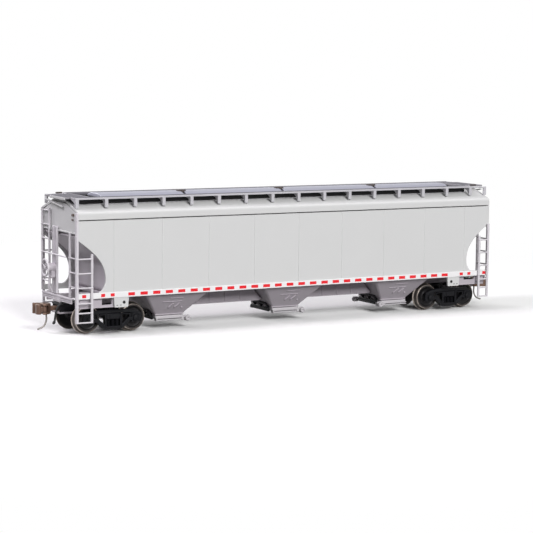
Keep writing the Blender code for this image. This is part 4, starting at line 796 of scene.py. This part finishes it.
# The stringer is black as painted shade under the running board.
stringer = [plate(oblong(-97.0, 90.0, 51.05, 53.15, 0.2), "XZ", -10.75, -10.45, 0.1)]
trim = [runs((BOARD_START, -15.05, RIM_Z), (BOARD_LENGTH, 0, 0), 0.34, 0.7, UP),
        runs(row((-98.53, 90.93), -15.1, RIM_Z), (0, 4.8, 0), 0.34, 0.7, UP)]
bracket = rounded([(-15.22, 49.79), (-15.22, 53.3), (-10.4, 53.3), (-10.4, 52.8), (-12.4, 52.4),
                   (-13.7, 51.5), (-14.2, 50.4), (-14.3, 49.79)], 0.25, 3)
trim += [plate(bracket, "YZ", x, x + 1.4) for x in -98.6 + 12.54 * np.arange(16)]
grab = row((89.8, 95.4, 97.6, 98.0, 98.0), -14.8, (53.2, 53.2, 53.1, 51.6, 50.0))
trim.append(plate(oblong(97.3, HALF_LENGTH, 49.79, RIM_Z, 0.2), "XZ", -15.2, -14.4))
trim.append(tube(grab, 0.3))
fit_twice(SIDES, "walkway_trim", trim, walk_trim, "roof_silver", "running_board")
fit_twice(SIDES, "walkway", net, walk_grey, "roof_silver")
fit_twice(SIDES, "walkway_stringer", stringer, painted_shade_black, "roof_silver")

# Crosswalks: the same gratings across both roof ends, on pads on the roof. Each has a light lip and a
# slanting brace in front of the end sheet.
walk_edge = skin("walk_edge", (0.25, 0.24, 0.26), (0.5, 0.5, 0.54), wear_and_highlight=0.5, mottle=0.12)
end_net = grating(-100.8, -90.4, -9.7, 8.8, 19)
end_trim = [runs(row((-100.83, -90.37), -9.9, RIM_Z), (0, 18.9, 0), 0.34, 0.7, UP),
            runs(row(-101.0, (-9.73, 8.83), RIM_Z), (10.8, 0, 0), 0.34, 0.7, UP),
            runs(row((-97.6, -91.3), -4.4, 53.05), (0, 8.8, 0), 1.0, 0.35, UP),
            runs(row(-100.83, (-8.0, 7.0), 53.2), (3.83, 0, 0), 0.5, 0.4, UP)]
end_lip = [plate(oblong(-10.0, 4.6, 52.75, 53.72, 0.25), "YZ", -101.05, -100.75, 0.1),
           bars((-100.3, 9.4, 51.9), (-99.6, -4.2, 49.8), 0.6, 0.8, ALONG),
           runs((-100.2, 8.9, 51.8), (0, 0, 1.4), 0.6, 0.6, ALONG)]
fit_twice(ENDS, "end_walk_trim", end_trim, walk_edge, "roof_silver", "crosswalk")
fit_twice(ENDS, "end_walk_lip", end_lip, body_grey, "roof_silver")
fit_twice(ENDS, "end_walk", end_net, walk_grey, "roof_silver")

# Hatch covers: four long silver covers of a trough hatch, rounded on their shoulders and glued on the
# roof. Brown latch blocks hold the joints between them.
roof_silver = skin("roof_silver", (0.33, 0.335, 0.40), (0.7, 0.7, 0.78), wear_and_highlight=0.4, mottle=0.1, rough=0.4,
                   grain=2400.0, bump=0.06, metal=0.2)
latch_brown = skin("latch_brown", (0.055, 0.042, 0.038), wear_and_highlight=0.5, mottle=0.2, rough=0.5)
COVER_JOINTS = (-84.5, -46.2, 0.0, 46.2, 84.5)
half_hatch = [(6.5, 52.9), (6.5, 53.5), (4.6, 54.35)]
hatch_corners = half_hatch + [(0, 54.6)] + [(-y, z) for y, z in half_hatch[::-1]]
hatch_line = rounded(hatch_corners, (0.1, 0.7, 0.9, 2.0, 0.9, 0.7, 0.1), 6)
for number, (start, stop) in enumerate(zip(COVER_JOINTS, COVER_JOINTS[1:]), 1):
    beads = row(start + 0.9, (-6.4, 6.4), 53.15)
    cover = [plate(hatch_line, "YZ", start + 0.6, stop - 0.6, 0.3),
             runs(beads, (stop - start - 1.8, 0, 0), 0.4, 0.4, UP)]
    fit(f"trough_cover_{number}", cover, roof_silver, "car_body", "roof_silver", f"hatch_cover_{number}")
latches = [runs(row(COVER_JOINTS[1:-1], -4.6, 54.35), (0, 9.2, 0), 0.9, 0.5, UP)]
for x in COVER_JOINTS[1:-1]:
    latches.append(plate(oblong(x - 1.8, x + 1.8, 54.0, 54.95, 0.25), "XZ", -3.4, -1.4, 0.2))
for sign in (-1, 1):
    block = oblong(sign * 92.6, sign * 95.2, 53.7, 54.35, 0.2)
    latches.append(plate(block, "XZ", -sign * 11.2, -sign * 12.4))
fit("hatch_latches", latches, latch_brown, "car_body", "roof_silver")

# Ladders: thin light grey mouldings pegged to the corners: a side ladder at each corner, a wide ladder
# with a handrail and a narrow one on each end.
fitting_grey = skin("fitting_grey", (0.645, 0.617, 0.65), (0.8, 0.78, 0.8), wear_and_highlight=0.25, mottle=0.04,
                    rough=0.5, grain=3200.0, bump=0.04, gloss=0.2)
RUNGS = 19.0 + 5.65 * np.arange(6)
LOW_RUNGS = np.concatenate([(5.4, 9.15, 12.9), RUNGS[:3]])
LADDER_X = -99.4
LADDER_Y = -18.75


def bolts(points, way, size):
    """Low round heads at points, facing a way."""
    head = [(0, 0.2), (size * 0.7, 0.16), (size, 0.0), (size, -0.1), (0, -0.1)]
    return [lathe(head, point, way, 12) for point in points]


def rungs(heights, x, y, way):
    """Level rungs that run a way from x and y, one at each height, square with well-rounded edges."""
    return runs(row(x, y, heights), way, 0.6, 0.6, UP, 0.4)


for near, far, outer, inner, deep, top in (("b", "a", -99.5, -93.3, 1.8, 48.3),
                                           ("a", "b", 97.6, 93.0, 0.8, 37.4)):
    climb = [runs((outer, -19.15 + deep / 2, 5.1), (0, 0, top - 5.1), 1.0, deep, ACROSS, 0.25),
             runs((inner, LADDER_Y, 5.1), (0, 0, 27.1), 1.0, 0.8, ACROSS),
             rungs(LOW_RUNGS, inner, LADDER_Y, (outer - inner, 0, 0)),
             runs(row(inner, -18.5, (15.6, 31.6)), (0, 0.6, 0), 0.9, 0.6, UP)]
    climb += bolts([(x, -19.12, z) for x in (inner, outer) for z in LOW_RUNGS], (0, -1, 0), 0.28)
    corners = ((f"right_{near}", False), (f"left_{far}", True))
    fit_twice(corners, "climbing_side", climb, fitting_grey, "body_grey", "side_ladder")

wide = [runs(row(LADDER_X, (8.6, 15.8), 14.8), (0, 0, 33.5), 1.0, 0.8, ALONG),
        rungs(RUNGS, LADDER_X, 8.6, (0, 7.2, 0)),
        runs((-100.8, -10.6, 30.6), (0, 19.6, 0), 0.6, 0.6, UP, 0.42),
        runs((-101.0, 8.6, 30.6), (1.6, 0, 0), 0.6, 0.5, UP)]
wide += bolts([(-99.8, y, z) for y in (8.6, 15.8) for z in RUNGS], (-1, 0, 0), 0.28)
narrow = [runs((LADDER_X, -11.4, 14.8), (0, 0, 25.4), 1.0, 0.8, ALONG),
          rungs(RUNGS[:3], LADDER_X, -17.05, (0, 5.65, 0))]
narrow += bolts([(-99.8, -11.4, z) for z in RUNGS[:3]], (-1, 0, 0), 0.28)
fit_twice(ENDS, "climbing_end_wide", wide, fitting_grey, "body_grey", "wide_end_ladder")
fit_twice(ENDS, "climbing_end_narrow", narrow, fitting_grey, "body_grey", "narrow_end_ladder")

# End platforms: a narrow tread with a netted lip before a thin plate, standing on a foot over the draft
# box. Light grey mouldings that carry the ladders and the brake post.
slats = np.linspace(-14.2, 14.2, 33)
step = [runs(row((-100.05, -99.15), -14.5, 14.2), (0, 29.0, 0), 0.3, 0.6, UP),
        runs(row(-100.1, slats, 14.2), (1.0, 0, 0), 0.4, 0.5, UP),
        runs(row(-99.95, -14.3, (12.5, 13.2, 13.9)), (0, 28.6, 0), 0.3, 0.25, UP),
        runs(row(-99.95, slats, 12.4), (0, 0, 1.6), 0.3, 0.25, ALONG),
        plate(oblong(-14.3, 14.3, 12.35, 14.05, 0.2), "YZ", -99.85, -99.6, 0.08),
        runs((-99.55, 0, 11.7), (0, 0, 2.3), 0.9, 7.4, ACROSS, 0.2)]
fit_twice(ENDS, "end_step", step, fitting_grey, "body_grey", "end_platform")

# Hand brake: a grooved post with a pull rod, a round gear case on it in the darker slope-sheet grey, which
# is painted shade, and a spoked wheel before the case. Light grey mouldings on the brake end.
BRAKE_Y = 2.7
BRAKE_Z = 25.2
WHEEL_X = -103.76
post = [plate(oblong(0.5, 4.9, 14.8, 41.7, 0.4), "YZ", -99.7, -99.0),
        runs(row(-99.75, (0.8, 2.0, 3.4, 4.6), 15.0), (0, 0, 26.5), 0.5, 0.42, ALONG),
        tube([(-101.6, 3.7, 21.3), (-101.6, 3.7, 18.0), (-100.6, 3.9, 16.0), (-100.1, 3.9, 15.0)], 0.28)]
fit("brake_stand", post, fitting_grey, "car_body", "body_grey", "brake_post")
drum = [(0, 3.4), (1.2, 3.4), (1.5, 3.1), (1.7, 2.2), (1.75, 0.2), (1.6, 0), (0, 0)]
case = [lathe(drum, (-99.66, BRAKE_Y, BRAKE_Z), (-1, 0, 0), 28),
        plate(oblong(1.5, 3.9, 21.0, BRAKE_Z, 0.5), "YZ", -101.6, -99.66, 0.3)]
case += bolts([(-101.6, y, 21.7) for y in (2.0, 3.4)], (-1, 0, 0), 0.25)
fit("brake_case", case, chute_grey, "car_body", "underframe_grey")
t = np.linspace(0, 2 * np.pi, 13)
rim = np.stack([3.25 + 0.4 * np.cos(t), 0.4 * np.sin(t)], -1)
hub = [(0, -0.44), (0.7, -0.44), (0.8, -0.3), (0.8, 0.3), (0.7, 0.36), (0, 0.36)]
centre = (WHEEL_X, BRAKE_Y, BRAKE_Z)
handwheel = [lathe(rim, centre, ALONG, 48), lathe(hub, centre, ALONG, 20)]
reach = np.array((0.5, 1.8, 3.2))
for angle in np.pi / 6 + np.arange(6) * np.pi / 3:
    spoke = row((WHEEL_X, WHEEL_X + 0.2, WHEEL_X), BRAKE_Y + reach * math.cos(angle),
                BRAKE_Z + reach * math.sin(angle))
    handwheel.append(tube(spoke, 0.25, 8))
fit("brake_handwheel", handwheel, fitting_grey, "car_body", "body_grey", "brake_wheel")

# Draft boxes: black plastic pockets with a flanged mouth for the coupler and a post that its shank turns
# on, each closed from below by a grey lid and screwed under its end.
POST_X = -93.0
pocket_line = oblong(-100.3, -89.7, -3.7, 3.7, 0.5)
pocket = [plate(pocket_line, "XY", 10.5, 11.4, 0.18),
          runs((-90.2, -3.5, 9.3), (0, 7.0, 0), 0.9, 2.8, UP, 0.15),
          lathe([(0, 10.6), (0.9, 10.6), (0.9, 8.0), (0, 8.0)], (POST_X, 0, 0), UP, 24),
          runs((-100.2, -3.8, 11.05), (0, 7.6, 0), 0.5, 0.8, UP, 0.25)]
for low in (-3.7, 2.8):
    pocket.append(plate(oblong(-100.25, -89.75, 7.9, 10.7, 0.2), "XZ", low, low + 0.9, 0.12))
lid = [plate(pocket_line, "XY", 7.2, 8.1, 0.18),
       runs((-100.2, -3.8, 7.6), (0, 7.6, 0), 0.5, 0.8, UP, 0.25)]
lid += bolts([(-100.45, y, 7.6) for y in (-3.2, 3.2)], (-1, 0, 0), 0.32)
lid += bolts([(x, 0, 7.2) for x in (-95.6, -92.4)], (0, 0, -1), 0.9)
fit_twice(ENDS, "draft_pocket", pocket, truck_black, "truck_black", "draft_box")
fit_twice(ENDS, "draft_lid", lid, underframe_grey, "underframe_grey")

# Couplers: cast metal heads with a guard arm, browned, on a shank with an eye. A hooked knuckle turns on
# a rivet in the head, and a bent wire hangs below it.
coupler_brown = skin("coupler_brown", (0.13, 0.078, 0.058), (0.35, 0.24, 0.18), wear_and_highlight=0.6, mottle=0.25,
                     rough=0.42, grain=1800.0, bump=0.12, metal=0.5)
wire_grey = skin("wire_grey", (0.22, 0.2, 0.185), (0.5, 0.46, 0.42), wear_and_highlight=0.5, mottle=0.2, rough=0.4,
                 grain=1800.0, bump=0.06, metal=0.6)
HINGE = np.array((-106.102, -1.835))
COUPLER_Z = 9.3
guard = [(-106.762, 3.1), (-108.95, 3.6), (-109.25, 2.6), (-107.262, 1.55), (-106.762, 0.2)]
jaw = [(-106.462, -1.835), (-107.162, -2.825), (-105.762, -3.1)]
root = [(-103.05, -1.25), (-103.05, 1.25), (-104.65, 2.6)]
mouth = [(-106.65, -0.42), (-106.1, -0.42), (-105.1, -0.85), (-104.6, -1.6)]
cheek = rounded([(-104.65, -2.4)] + root + guard + jaw, 0.25, 3)
core = rounded([(-104.55, -2.3)] + root + guard + mouth, 0.25, 3)
eye = [(1.2, 10.2), (1.9, 10.2), (2.1, 10.0), (2.1, 8.6), (1.9, 8.4), (1.2, 8.4), (1.2, 10.2)]
rivet = [(0, 11.55), (0.5, 11.5), (0.65, 11.35), (0.5, 11.2), (0.5, 7.4), (0.65, 7.25), (0.5, 7.1), (0, 7.05)]
head = [plate(cheek, "XY", 7.2, 8.0, 0.2), plate(cheek, "XY", 10.6, 11.4, 0.2),
        plate(core, "XY", 7.8, 10.8),
        runs((-103.65, 0, COUPLER_Z), (9.05, 0, 0), 1.9, 1.8, UP, 0.2),
        lathe(eye, (POST_X, 0, 0), UP, 32), lathe(rivet, (*HINGE, 0), UP, 20)]
hook = np.array([(-1.66, -0.99), (-1.66, 0.88), (-2.028, 1.54), (-2.028, 2.135), (-3.148, 1.835),
                 (-3.348, 0.0), (-2.648, -1.1)])
bush = [(0.7, 10.3), (1.0, 10.3), (1.1, 10.2), (1.1, 8.4), (1.0, 8.3), (0.7, 8.3), (0.7, 10.3)]
claw = [plate(rounded(HINGE + hook, 0.35), "XY", 7.3, 11.3, 0.25),
        runs((HINGE[0] - 2.1, HINGE[1], COUPLER_Z), (1.35, 0, 0), 1.76, 1.9, UP, 0.15),
        lathe(bush, (*HINGE, 0), UP, 24)]
wire = [tube([(-104.562, 0, 7.3), (-104.34, 0, 4.464), (-105.524, 0, 2.0), (-108.262, 0, 1.1)], 0.35)]
fit_twice(ENDS, "coupler_casting", head, coupler_brown, "coupler_brown", "coupler_head", "coupler")
fit_twice(ENDS, "coupler_claw", claw, coupler_brown, "coupler_brown", "knuckle", "knuckle")
fit_twice(ENDS, "coupler_wire", wire, wire_grey, "coupler_brown", "trip_pin", "coupler")

# Air hoses: black plastic mouldings of the brake hose, hanging from a nut under each platform and ending
# in a flat coupling.
hose_black = skin("hose_black", (0.012, 0.012, 0.013), (0.05, 0.05, 0.05), wear_and_highlight=0.4, mottle=0.2, rough=0.55)
HOSE_Y = -4.6
nut = [(0, 12.1), (0.6, 12.1), (0.7, 12.0), (0.7, 11.2), (0.5, 11.0), (0, 11.0)]
coupling = [(-103.4, 4.9), (-102.5, 5.1), (-102.7, 3.7), (-103.7, 3.4), (-103.9, 4.0)]
hose = [tube(row((-99.8, -101.9, -102.6, -103.0), HOSE_Y, (12.0, 9.9, 7.2, 4.2)), 0.4),
        lathe(nut, (-99.8, HOSE_Y, 0), UP, 6),
        plate(rounded(coupling, 0.3), "XZ", -5.1, -4.2)]
fit_twice(ENDS, "brake_hose", hose, hose_black, "hose_black", "air_hose")

bpy.context.view_layer.update()
